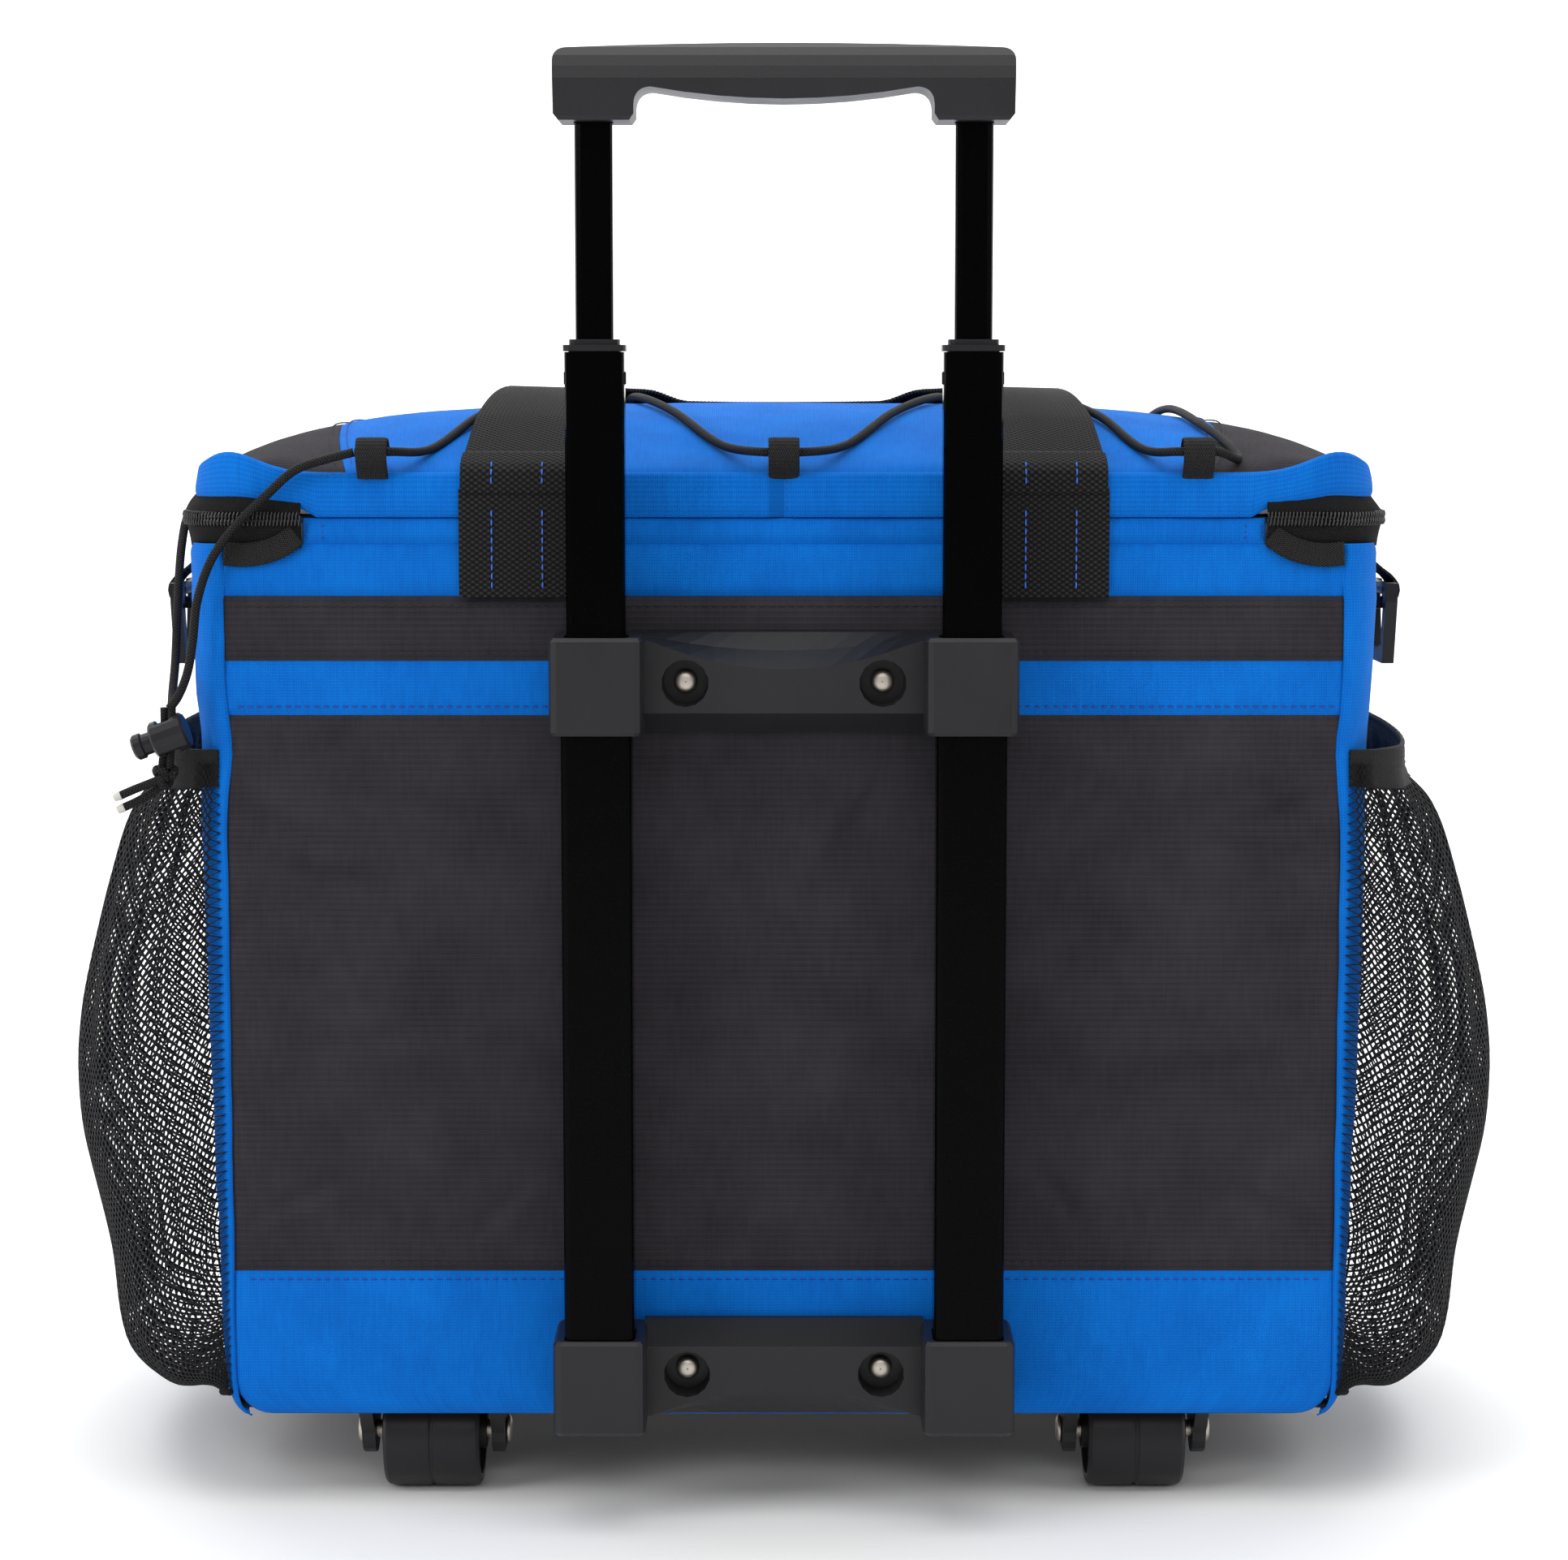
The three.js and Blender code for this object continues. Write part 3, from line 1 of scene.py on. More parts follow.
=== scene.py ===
import bpy
import json
import math
import numpy as np
from mathutils import Vector, noise
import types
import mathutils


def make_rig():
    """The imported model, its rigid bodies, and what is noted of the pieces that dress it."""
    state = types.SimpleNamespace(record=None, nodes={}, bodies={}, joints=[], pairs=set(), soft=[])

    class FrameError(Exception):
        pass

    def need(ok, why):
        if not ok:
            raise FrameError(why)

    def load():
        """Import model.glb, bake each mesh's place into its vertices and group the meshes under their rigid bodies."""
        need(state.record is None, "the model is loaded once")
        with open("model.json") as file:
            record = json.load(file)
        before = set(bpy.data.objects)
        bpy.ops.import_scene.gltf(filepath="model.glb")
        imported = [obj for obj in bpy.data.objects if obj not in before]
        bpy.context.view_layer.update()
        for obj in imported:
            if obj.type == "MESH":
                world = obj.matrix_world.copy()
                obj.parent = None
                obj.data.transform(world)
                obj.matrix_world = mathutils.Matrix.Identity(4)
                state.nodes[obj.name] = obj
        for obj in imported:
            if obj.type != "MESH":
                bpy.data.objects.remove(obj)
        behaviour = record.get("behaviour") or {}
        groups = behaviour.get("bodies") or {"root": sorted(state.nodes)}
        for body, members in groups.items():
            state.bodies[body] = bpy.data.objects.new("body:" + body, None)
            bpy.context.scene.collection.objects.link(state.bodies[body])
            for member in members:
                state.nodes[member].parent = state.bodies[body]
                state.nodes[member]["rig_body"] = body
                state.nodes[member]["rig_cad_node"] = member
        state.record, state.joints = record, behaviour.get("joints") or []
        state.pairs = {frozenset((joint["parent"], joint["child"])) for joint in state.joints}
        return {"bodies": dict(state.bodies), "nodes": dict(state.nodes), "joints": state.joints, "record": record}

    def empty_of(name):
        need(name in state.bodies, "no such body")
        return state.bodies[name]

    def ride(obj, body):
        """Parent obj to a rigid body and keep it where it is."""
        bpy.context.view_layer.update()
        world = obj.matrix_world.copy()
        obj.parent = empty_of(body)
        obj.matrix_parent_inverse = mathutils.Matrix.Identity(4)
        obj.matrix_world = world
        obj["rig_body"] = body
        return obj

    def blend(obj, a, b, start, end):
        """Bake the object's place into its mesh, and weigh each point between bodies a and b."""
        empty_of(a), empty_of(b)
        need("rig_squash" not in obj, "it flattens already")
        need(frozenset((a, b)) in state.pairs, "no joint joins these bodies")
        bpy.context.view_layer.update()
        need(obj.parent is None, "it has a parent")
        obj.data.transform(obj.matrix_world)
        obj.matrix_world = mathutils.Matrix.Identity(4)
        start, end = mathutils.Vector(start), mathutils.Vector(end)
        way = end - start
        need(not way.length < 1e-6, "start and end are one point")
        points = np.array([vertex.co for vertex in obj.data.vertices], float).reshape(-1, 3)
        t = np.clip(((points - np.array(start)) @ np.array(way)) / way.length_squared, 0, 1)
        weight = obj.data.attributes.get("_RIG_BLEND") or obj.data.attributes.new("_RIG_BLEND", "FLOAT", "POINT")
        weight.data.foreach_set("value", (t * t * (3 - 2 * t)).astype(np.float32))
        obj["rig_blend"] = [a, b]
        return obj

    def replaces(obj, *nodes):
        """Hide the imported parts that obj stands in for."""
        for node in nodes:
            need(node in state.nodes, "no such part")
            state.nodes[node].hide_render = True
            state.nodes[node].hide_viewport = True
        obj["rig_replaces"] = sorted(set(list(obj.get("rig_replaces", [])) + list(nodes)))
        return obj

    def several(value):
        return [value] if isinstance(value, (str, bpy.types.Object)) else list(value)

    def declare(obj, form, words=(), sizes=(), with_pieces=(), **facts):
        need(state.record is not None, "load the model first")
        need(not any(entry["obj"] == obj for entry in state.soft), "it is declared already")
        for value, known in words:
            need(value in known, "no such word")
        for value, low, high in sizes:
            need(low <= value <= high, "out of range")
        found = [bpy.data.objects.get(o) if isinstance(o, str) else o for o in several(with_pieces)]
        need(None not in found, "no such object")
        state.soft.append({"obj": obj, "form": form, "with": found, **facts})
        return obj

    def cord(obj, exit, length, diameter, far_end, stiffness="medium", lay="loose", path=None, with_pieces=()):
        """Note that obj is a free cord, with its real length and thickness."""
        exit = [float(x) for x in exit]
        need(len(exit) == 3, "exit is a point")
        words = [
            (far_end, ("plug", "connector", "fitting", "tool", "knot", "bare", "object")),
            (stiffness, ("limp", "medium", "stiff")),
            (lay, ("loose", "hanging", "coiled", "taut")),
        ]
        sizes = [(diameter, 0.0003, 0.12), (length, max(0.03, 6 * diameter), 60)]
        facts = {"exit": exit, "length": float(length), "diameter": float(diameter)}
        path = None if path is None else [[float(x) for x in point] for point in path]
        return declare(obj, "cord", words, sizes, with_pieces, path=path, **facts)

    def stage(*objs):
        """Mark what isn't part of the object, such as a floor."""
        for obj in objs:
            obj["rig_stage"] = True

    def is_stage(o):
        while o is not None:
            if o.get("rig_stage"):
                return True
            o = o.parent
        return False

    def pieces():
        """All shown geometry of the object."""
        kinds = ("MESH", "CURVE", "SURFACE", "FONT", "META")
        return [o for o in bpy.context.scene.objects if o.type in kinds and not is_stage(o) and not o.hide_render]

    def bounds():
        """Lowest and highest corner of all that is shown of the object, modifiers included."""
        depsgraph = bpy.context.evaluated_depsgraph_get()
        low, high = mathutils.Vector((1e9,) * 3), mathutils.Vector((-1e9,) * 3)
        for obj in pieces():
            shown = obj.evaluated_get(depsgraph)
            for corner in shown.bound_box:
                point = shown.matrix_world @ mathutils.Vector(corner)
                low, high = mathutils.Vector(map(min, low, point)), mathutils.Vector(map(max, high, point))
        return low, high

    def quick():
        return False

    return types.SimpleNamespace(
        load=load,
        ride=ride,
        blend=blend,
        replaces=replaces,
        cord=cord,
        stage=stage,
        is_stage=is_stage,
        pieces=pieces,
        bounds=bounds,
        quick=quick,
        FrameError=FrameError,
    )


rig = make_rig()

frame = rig.load()
SIZE_CAD = [[float(c) for c in v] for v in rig.bounds()]
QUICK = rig.quick()
YS = -112.0
scene = bpy.context.scene


def P(x, y, z):
    return (x * 0.001, (y + YS) * 0.001, z * 0.001)


# ------------------------------------------------------------ camera
cam_data = bpy.data.cameras.new("camera")
cam = bpy.data.objects.new("camera", cam_data)
scene.collection.objects.link(cam)
cam.location = (0.0, -1.312, 0.3833)
cam.rotation_euler = (math.radians(90 - 6.19), 0, 0)
cam_data.sensor_width = 36.0
cam_data.lens = 82.0
cam_data.clip_start, cam_data.clip_end = 0.01, 60
scene.camera = cam


# ------------------------------------------------------------ materials
class Mat:
    def __init__(self, name, rough, **sockets):
        self.m = bpy.data.materials.new(name)
        self.m.use_nodes = True
        self.nt = self.m.node_tree
        self.s = self.nt.nodes["Principled BSDF"]
        self.s.inputs["Roughness"].default_value = rough
        for k, v in sockets.items():
            self.s.inputs[k.replace("_", " ")].default_value = v

    def n(self, kind, **props):
        n = self.nt.nodes.new(kind)
        for k, v in props.items():
            setattr(n, k, v)
        return n

    def link(self, a, b):
        self.nt.links.new(a, b)

    def math(self, op, a, b=None, c=None):
        n = self.n("ShaderNodeMath", operation=op)
        for i, v in enumerate((a, b, c)):
            if v is None:
                continue
            if isinstance(v, (int, float)):
                n.inputs[i].default_value = v
            else:
                self.link(v, n.inputs[i])
        return n.outputs[0]

    def uv(self):
        u = self.n("ShaderNodeUVMap", uv_map="mm")
        s = self.n("ShaderNodeSeparateXYZ")
        self.link(u.outputs[0], s.inputs[0])
        return u.outputs[0], s.outputs[0], s.outputs[1]

    def obj(self):
        return self.n("ShaderNodeTexCoord").outputs["Object"]

    def noise(self, vec, scale, detail=3.0, rough=0.55):
        n = self.n("ShaderNodeTexNoise")
        n.inputs["Scale"].default_value = scale
        n.inputs["Detail"].default_value = detail
        n.inputs["Roughness"].default_value = rough
        self.link(vec, n.inputs["Vector"])
        return n.outputs["Fac"]

    def wave(self, t, period, phase=0.0):
        a = self.math("MULTIPLY_ADD", t, 2 * math.pi / period, phase)
        return self.math("SINE", a)

    def mix(self, fac, a, b):
        r = self.n("ShaderNodeValToRGB")
        r.color_ramp.elements[0].color = (*a, 1)
        r.color_ramp.elements[1].color = (*b, 1)
        self.link(fac, r.inputs[0])
        self.link(r.outputs[0], self.s.inputs["Base Color"])

    def bump(self, height, dist, strength=1.0):
        b = self.n("ShaderNodeBump")
        b.inputs["Distance"].default_value = dist
        b.inputs["Strength"].default_value = strength
        self.link(height, b.inputs["Height"])
        self.link(b.outputs[0], self.s.inputs["Normal"])

    def rough(self, fac, lo, hi):
        r = self.n("ShaderNodeMapRange")
        r.inputs["To Min"].default_value = lo
        r.inputs["To Max"].default_value = hi
        self.link(fac, r.inputs["Value"])
        self.link(r.outputs[0], self.s.inputs["Roughness"])


def dobby(name, lo, hi, dot=0.5, thread=0.5, rough=0.78, sheen=0.15, rib=0.0):
    """Woven cloth: a fine plain weave with rows of small raised floats, and slight uneven wear."""
    m = Mat(name, rough, Sheen_Weight=sheen, Sheen_Roughness=0.4, Specular_IOR_Level=0.08)
    vec, u, v = m.uv()
    a = m.wave(u, 0.62)
    b = m.wave(v, 0.62)
    plain = m.math("MULTIPLY", a, b)
    # floats: a staggered lattice of dots
    d1 = m.wave(m.math("ADD", u, m.math("MULTIPLY", v, 0.8)), 1.6)
    d2 = m.wave(m.math("SUBTRACT", u, m.math("MULTIPLY", v, 0.8)), 1.6)
    dots = m.math("MAXIMUM", m.math("MULTIPLY", d1, d2), 0.0)
    big = m.noise(vec, 0.035, 3)
    streak = m.n("ShaderNodeMapping")
    streak.inputs["Scale"].default_value = (0.9, 0.08, 1.0)
    m.link(vec, streak.inputs["Vector"])
    s = m.noise(streak.outputs[0], 1.0, 2)
    tone = m.math("MULTIPLY_ADD", dots, dot * 0.45, m.math("MULTIPLY_ADD", plain, thread * 0.18, 0.1))
    tone = m.math("ADD", tone, m.math("MULTIPLY_ADD", big, 0.45, m.math("MULTIPLY", s, 0.28)))
    tone = m.math("SUBTRACT", tone, 0.12)
    h = m.math("MULTIPLY_ADD", dots, 0.8, m.math("MULTIPLY", plain, 0.5))
    h = m.math("MULTIPLY_ADD", s, 0.5, h)
    if rib:
        # ribs along the weft, broken up by slow unevenness of the yarn
        ribs = m.math("MULTIPLY", m.wave(v, 2.1), m.math("MULTIPLY_ADD", m.noise(vec, 0.12, 2), 1.2, 0.2))
        tone = m.math("MULTIPLY_ADD", ribs, rib * 0.16, tone)
        h = m.math("MULTIPLY_ADD", ribs, rib, h)
    m.mix(tone, lo, hi)
    m.bump(h, 0.00016, 0.7)
    return m.m


def web(name, lo, hi, pu=2.7, pv=1.9, rough=0.62):
    m = Mat(name, rough, Specular_IOR_Level=0.16)
    vec, u, v = m.uv()
    p = m.math("MULTIPLY", m.wave(u, pu), m.wave(v, pv))
    f = m.wave(m.math("MULTIPLY_ADD", u, 0.6, v), 0.42)
    n = m.noise(vec, 0.9, 3)
    tone = m.math("MULTIPLY_ADD", p, 0.75, m.math("MULTIPLY_ADD", n, 0.5, -0.08))
    m.mix(tone, lo, hi)
    m.bump(m.math("MULTIPLY_ADD", f, 0.25, m.math("ADD", p, n)), 0.00022, 0.8)
    return m.m


def solid(name, lo, hi, rough, grain=0.0002, scale=1500.0, metal=0.0, spread=0.12, **sockets):
    """Moulded or coated hard material: a fine grain, and a slow change of gloss."""
    m = Mat(name, rough, Metallic=metal, **sockets)
    c = m.obj()
    fine = m.noise(c, scale, 2)
    slow = m.noise(c, 28.0, 4)
    m.mix(m.math("MULTIPLY_ADD", fine, 0.4, m.math("MULTIPLY", slow, 0.6)), lo, hi)
    m.rough(slow, max(0.02, rough - spread), rough + spread)
    m.bump(fine, grain, 0.5)
    return m.m


BLUE = dobby("blue_cloth", (0.0002, 0.060, 0.34), (0.0035, 0.235, 0.82), dot=0.7, sheen=0.02)
BLACK = dobby("black_cloth", (0.009, 0.008, 0.011), (0.062, 0.058, 0.067), dot=0.3, thread=0.9, rough=0.85, sheen=0.03, rib=0.5)
WEB = web("webbing_cloth", (0.0010, 0.0010, 0.0010), (0.036, 0.035, 0.0355))
GROS = web("grosgrain", (0.006, 0.006, 0.006), (0.045, 0.044, 0.044), 0.8, 1.3)
NET = web("net_yarn", (0.004, 0.004, 0.005), (0.022, 0.022, 0.024), 0.5, 0.5, 0.7)
TAPE = web("zip_cloth", (0.004, 0.004, 0.004), (0.022, 0.022, 0.022), 0.7, 0.7, 0.85)
COIL = solid("coil_nylon", (0.010, 0.010, 0.011), (0.022, 0.022, 0.024), 0.32, 0.00003, 3000)
CORD = web("bungee_braid", (0.003, 0.003, 0.003), (0.035, 0.033, 0.033), 1.6, 1.1, 0.6)
TIP = solid("cord_tip", (0.42, 0.41, 0.37), (0.60, 0.59, 0.54), 0.35, 0.00005, 2500)
THREAD_DARK = solid("thread_dark", (0.004, 0.03, 0.2), (0.008, 0.05, 0.32), 0.7, 0.00004, 5000)
THREAD_BLUE = solid("thread_blue", (0.02, 0.10, 0.55), (0.05, 0.18, 0.8), 0.65, 0.00004, 5000)
THREAD_BLACK = solid("thread_black", (0.004, 0.004, 0.004), (0.012, 0.012, 0.012), 0.7, 0.00004, 5000)
TUBE = solid("tube_coat", (0.0004, 0.0004, 0.0005), (0.0014, 0.0014, 0.0016), 0.13, 0.00002, 900, spread=0.03, Specular_IOR_Level=0.035)
PLASTIC = solid("moulded_plastic", (0.009, 0.009, 0.0102), (0.019, 0.019, 0.0212), 0.40, 0.00010, 1800, Specular_IOR_Level=0.27)
PLASTIC_BLACK = solid("black_plastic", (0.008, 0.008, 0.009), (0.016, 0.016, 0.018), 0.36, 0.00007, 2200, Specular_IOR_Level=0.22)
TYRE = solid("wheel_plastic", (0.008, 0.008, 0.009), (0.016, 0.016, 0.018), 0.42, 0.00010, 1500, Specular_IOR_Level=0.24)
STEEL = solid("rivet_plate", (0.50, 0.44, 0.38), (0.74, 0.68, 0.61), 0.42, 0.00003, 1400, metal=1.0)
ZMETAL = solid("slider_coat", (0.03, 0.03, 0.032), (0.055, 0.055, 0.058), 0.35, 0.00004, 1600, metal=1.0)
FOAM = solid("foam_sheet", (0.50, 0.50, 0.48), (0.66, 0.66, 0.64), 0.9, 0.0003, 700)
LINER = solid("liner_film", (0.42, 0.44, 0.46), (0.58, 0.60, 0.62), 0.3, 0.0002, 260)
BOARD = solid("stiff_board", (0.015, 0.015, 0.015), (0.03, 0.03, 0.03), 0.6, 0.0001, 900)


# ------------------------------------------------------------ mesh helpers
def make(name, co, faces, mats, body=None, uv=None, smooth=True, index=None):
    """co: n x 3 in metres. faces: list or array of quads / tris. uv: n x 2 per vertex, in millimetres."""
    me = bpy.data.meshes.new(name)
    me.from_pydata([tuple(map(float, c)) for c in co], [], [tuple(map(int, f)) for f in faces])
    for m in mats if isinstance(mats, (list, tuple)) else [mats]:
        me.materials.append(m)
    me.polygons.foreach_set("use_smooth", [smooth] * len(me.polygons))
    if index is not None:
        me.polygons.foreach_set("material_index", index)
    layer = me.uv_layers.new(name="mm")
    li = np.zeros(len(me.loops), np.int32)
    me.loops.foreach_get("vertex_index", li)
    if uv is None:
        c = np.asarray(co, float) * 1000
        uv = np.stack([c[:, 0] + c[:, 1], c[:, 2]], 1)
    layer.data.foreach_set("uv", np.asarray(uv, np.float32)[li].ravel())
    me.update()
    ob = bpy.data.objects.new(name, me)
    scene.collection.objects.link(ob)
    if body:
        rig.ride(ob, body)
    return ob


def grid_normals(g, loop_u=False):
    if loop_u:
        du = np.roll(g, -1, 0) - np.roll(g, 1, 0)
    else:
        du = np.gradient(g, axis=0)
    dv = np.gradient(g, axis=1)
    n = np.cross(du, dv)
    return n / np.maximum(np.linalg.norm(n, axis=2, keepdims=True), 1e-12)


def shell(name, f, us, vs, t, body, mats, centre=(0, 125, 200), toward=None, loop_u=False, skip=None, as_array=None):
    """A cloth piece with thickness t (mm) behind the outer surface f(u, v), which is in rig millimetres."""
    g = np.array([[f(u, v) for v in vs] for u in us], float) if as_array is None else as_array
    nu, nv = g.shape[:2]
    n = grid_normals(g, loop_u)
    ref = g - np.array(centre, float) if toward is None else np.broadcast_to(np.array(toward, float), g.shape)
    if np.sum(n * ref) < 0:
        n = -n
        flip = True
    else:
        flip = False
    inner = g - n * t
    ul = np.concatenate([[0], np.cumsum(np.linalg.norm(np.diff(g[:, nv // 2], axis=0), axis=1))])
    vl = np.concatenate([[0], np.cumsum(np.linalg.norm(np.diff(g[nu // 2], axis=0), axis=1))])
    U, V = np.meshgrid(ul, vl, indexing="ij")
    uv = np.stack([U, V], 2).reshape(-1, 2)
    co = np.concatenate([g.reshape(-1, 3), inner.reshape(-1, 3)])
    co = (co + np.array([0, YS, 0])) * 0.001
    uv = np.concatenate([uv, uv])
    N = nu * nv
    faces = []
    used = np.ones((nu if loop_u else nu - 1, nv - 1), bool)
    if skip:
        for i in range(used.shape[0]):
            for j in range(nv - 1):
                if skip(us[i], us[(i + 1) % nu], vs[j], vs[j + 1]):
                    used[i, j] = False

    def q(a, b, c, d):
        faces.append((a, d, c, b) if flip else (a, b, c, d))

    mu = used.shape[0]
    for i in range(mu):
        i2 = (i + 1) % nu
        for j in range(nv - 1):
            if not used[i, j]:
                continue
            a, b, c, d = i * nv + j, i2 * nv + j, i2 * nv + j + 1, i * nv + j + 1
            q(a, b, c, d)
            q(a + N, d + N, c + N, b + N)
            if j == 0 or not used[i, j - 1]:
                q(a, a + N, b + N, b)
            if j == nv - 2 or not used[i, j + 1]:
                q(d, c, c + N, d + N)
            if (not loop_u and i == 0) or not used[(i - 1) % mu, j]:
                q(a, d, d + N, a + N)
            if (not loop_u and i == mu - 1) or not used[(i + 1) % mu, j]:
                q(b, b + N, c + N, c)
    return make(name, co, faces, mats, body, uv)


def tube_mesh(name, pts, r, mat, body=None, seg=12, step=1.2, caps=True, taper=None):
    """A round cord through rig points; returns the object and its centre line in metres."""
    line = smooth_line(pts, step)
    c = (line + np.array([0, YS, 0])) * 0.001
    t = np.gradient(c, axis=0)
    t /= np.linalg.norm(t, axis=1, keepdims=True)
    ref = np.array([0, 0, 1.0]) if abs(t[0][2]) < 0.9 else np.array([1.0, 0, 0])
    nrm = np.cross(t[0], ref)
    nrm /= np.linalg.norm(nrm)
    co, uv = [], []
    s = np.concatenate([[0], np.cumsum(np.linalg.norm(np.diff(line, axis=0), axis=1))])
    for k in range(len(c)):
        nrm = nrm - t[k] * np.dot(nrm, t[k])
        nrm /= np.linalg.norm(nrm)
        bn = np.cross(t[k], nrm)
        rr = r * 0.001 * (1.0 if taper is None else taper(k / (len(c) - 1)))
        for i in range(seg):
            a = 2 * math.pi * i / seg
            co.append(c[k] + rr * (math.cos(a) * nrm + math.sin(a) * bn))
            uv.append((i * 2 * math.pi * r / seg, s[k]))
    faces = []
    for k in range(len(c) - 1):
        for i in range(seg):
            j = (i + 1) % seg
            faces.append((k * seg + i, k * seg + j, (k + 1) * seg + j, (k + 1) * seg + i))
    if caps:
        faces.append(tuple(range(seg))[::-1])
        faces.append(tuple((len(c) - 1) * seg + i for i in range(seg)))
    return make(name, co, faces, mat, body, uv), [tuple(map(float, p)) for p in c]


def smooth_line(pts, step):
    """Centripetal Catmull-Rom through the points, resampled at even steps."""
    p = np.array(pts, float)
    p = np.vstack([2 * p[0] - p[1], p, 2 * p[-1] - p[-2]])
    out = []
    for i in range(1, len(p) - 2):
        a, b, c, d = p[i - 1], p[i], p[i + 1], p[i + 2]
        t0 = 0.0
        t1 = t0 + max(1e-6, np.linalg.norm(b - a)) ** 0.5
        t2 = t1 + max(1e-6, np.linalg.norm(c - b)) ** 0.5
        t3 = t2 + max(1e-6, np.linalg.norm(d - c)) ** 0.5
        m = max(2, int(np.linalg.norm(c - b) / 0.5))
        for k in range(m):
            t = t1 + (t2 - t1) * k / m
            A1 = (t1 - t) / (t1 - t0) * a + (t - t0) / (t1 - t0) * b
            A2 = (t2 - t) / (t2 - t1) * b + (t - t1) / (t2 - t1) * c
            A3 = (t3 - t) / (t3 - t2) * c + (t - t2) / (t3 - t2) * d
            B1 = (t2 - t) / (t2 - t0) * A1 + (t - t0) / (t2 - t0) * A2
            B2 = (t3 - t) / (t3 - t1) * A2 + (t - t1) / (t3 - t1) * A3
            out.append((t2 - t) / (t2 - t1) * B1 + (t - t1) / (t2 - t1) * B2)
    out.append(p[-2])
    out = np.array(out)
    s = np.concatenate([[0], np.cumsum(np.linalg.norm(np.diff(out, axis=0), axis=1))])
    n = max(3, int(s[-1] / step))
    q = np.linspace(0, s[-1], n + 1)
    return np.stack([np.interp(q, s, out[:, k]) for k in range(3)], 1)


def length_of(path):
    a = np.array(path)
    return float(np.linalg.norm(np.diff(a, axis=0), axis=1).sum())


STITCH = {}


def stitches(key, pts, normal, pitch=3.2, run=2.3, r=0.27, lift=0.12):
    """A row of lock stitches along rig points; normal is one vector or a function of the point."""
    line = smooth_line(pts, 0.4) if len(pts) > 2 else np.linspace(pts[0], pts[1], max(3, int(np.linalg.norm(np.subtract(pts[1], pts[0])) / 0.4)))
    s = np.concatenate([[0], np.cumsum(np.linalg.norm(np.diff(line, axis=0), axis=1))])
    x = pitch * 0.5
    store = STITCH.setdefault(key, ([], []))
    while x + run < s[-1]:
        a = np.array([np.interp(x, s, line[:, k]) for k in range(3)])
        b = np.array([np.interp(x + run, s, line[:, k]) for k in range(3)])
        nn = np.array(normal((a + b) / 2) if callable(normal) else normal, float)
        nn /= np.linalg.norm(nn)
        d = (b - a) / np.linalg.norm(b - a)
        w = np.cross(nn, d)
        base = len(store[0])
        for t, k in ((0.0, 0.35), (0.2, 0.95), (0.5, 1.1), (0.8, 0.95), (1.0, 0.35)):
            c = a + (b - a) * t + nn * (lift - (0.0 if 0.1 < t < 0.9 else 0.3))
            for i in range(5):
                q = 2 * math.pi * i / 5
                store[0].append(c + r * k * (math.cos(q) * nn + math.sin(q) * w))
        for k in range(4):
            for i in range(5):
                j = (i + 1) % 5
                store[1].append((base + k * 5 + i, base + k * 5 + j, base + (k + 1) * 5 + j, base + (k + 1) * 5 + i))
        store[1].append(tuple(base + i for i in range(5))[::-1])
        store[1].append(tuple(base + 20 + i for i in range(5)))
        x += pitch


def flush_stitches():
    for (name, body, mat), (co, faces) in STITCH.items():
        c = (np.array(co) + np.array([0, YS, 0])) * 0.001
        if isinstance(body, tuple):
            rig.blend(make(name, c, faces, mat, None), *body)
        else:
            make(name, c, faces, mat, body)


def nz(x, y, seed=0.0):
    return noise.noise(Vector((x, y, seed)))


def clamp(v, a=0.0, b=1.0):
    return max(a, min(b, v))


def lin(a, b, n):
    return [a + (b - a) * i / n for i in range(n + 1)]


def eased(a, b, n, edge=5.0):
    """Steps from a to b that are close together at both ends."""
    w = b - a
    e = min(edge, w * 0.3)
    head = [a + e * k for k in (0, 0.08, 0.2, 0.36, 0.6, 1.0)]
    tail = [b - e * k for k in (1.0, 0.6, 0.36, 0.2, 0.08, 0)]
    return head + [a + e + (w - 2 * e) * i / n for i in range(1, n)] + tail


# ------------------------------------------------------------ the bag's outline, as in the part
PANEL, DEPTH, Z0, Z1 = 189.0, 250.0, 33.2, 332.9


def half_width(z):
    return 193 + 10 * clamp((z - 33) / 300) ** 0.8


def corner_y(z):
    return 10 + 12 * clamp((z - 33) / 300)


def side_outer(t, z, inset=0.0):
    w, ry = half_width(z), corner_y(z)
    front = t > 0.5
    s = 1 - t if front else t
    if s <= 0.16:
        a = s / 0.16 * math.pi / 2
        x = PANEL + 0.3 + (w - PANEL - 0.3 - inset) * math.sin(a)
        y = ry - (ry - inset) * math.cos(a)
    else:
        k = (s - 0.16) / 0.34
        x = w - inset + 1.5 * math.sin(k * math.pi / 2)
        y = ry + (DEPTH / 2 - ry) * k
    return x, (DEPTH - y if front else y)


def side_x(y, z):
    w, ry = half_width(z), corner_y(z)
    d = min(y, DEPTH - y)
    if d >= ry:
        return w + 1.5 * math.sin((d - ry) / (DEPTH / 2 - ry) * math.pi / 2)
    k = max(0.0, 1 - ((ry - d) / ry) ** 2)
    return PANEL + 0.3 + (w - PANEL - 0.3) * math.sqrt(k)


def dome_f(x, y):
    return max(0.0, 1 - (abs(x) / 199) ** 3.6) ** 0.6 * max(0.0, 1 - abs((y - 125) / 125) ** 2.2)


def dome_z(x, y):
    return 356 + 23.4 * dome_f(x, y)


def x_edge(z):
    """Half width of the rear and front panels: their lower corners are round."""
    r = 13.0
    if z < Z0 + r:
        return PANEL - r + math.sqrt(max(0.0, r * r - (r - (z - Z0)) ** 2))
    return PANEL


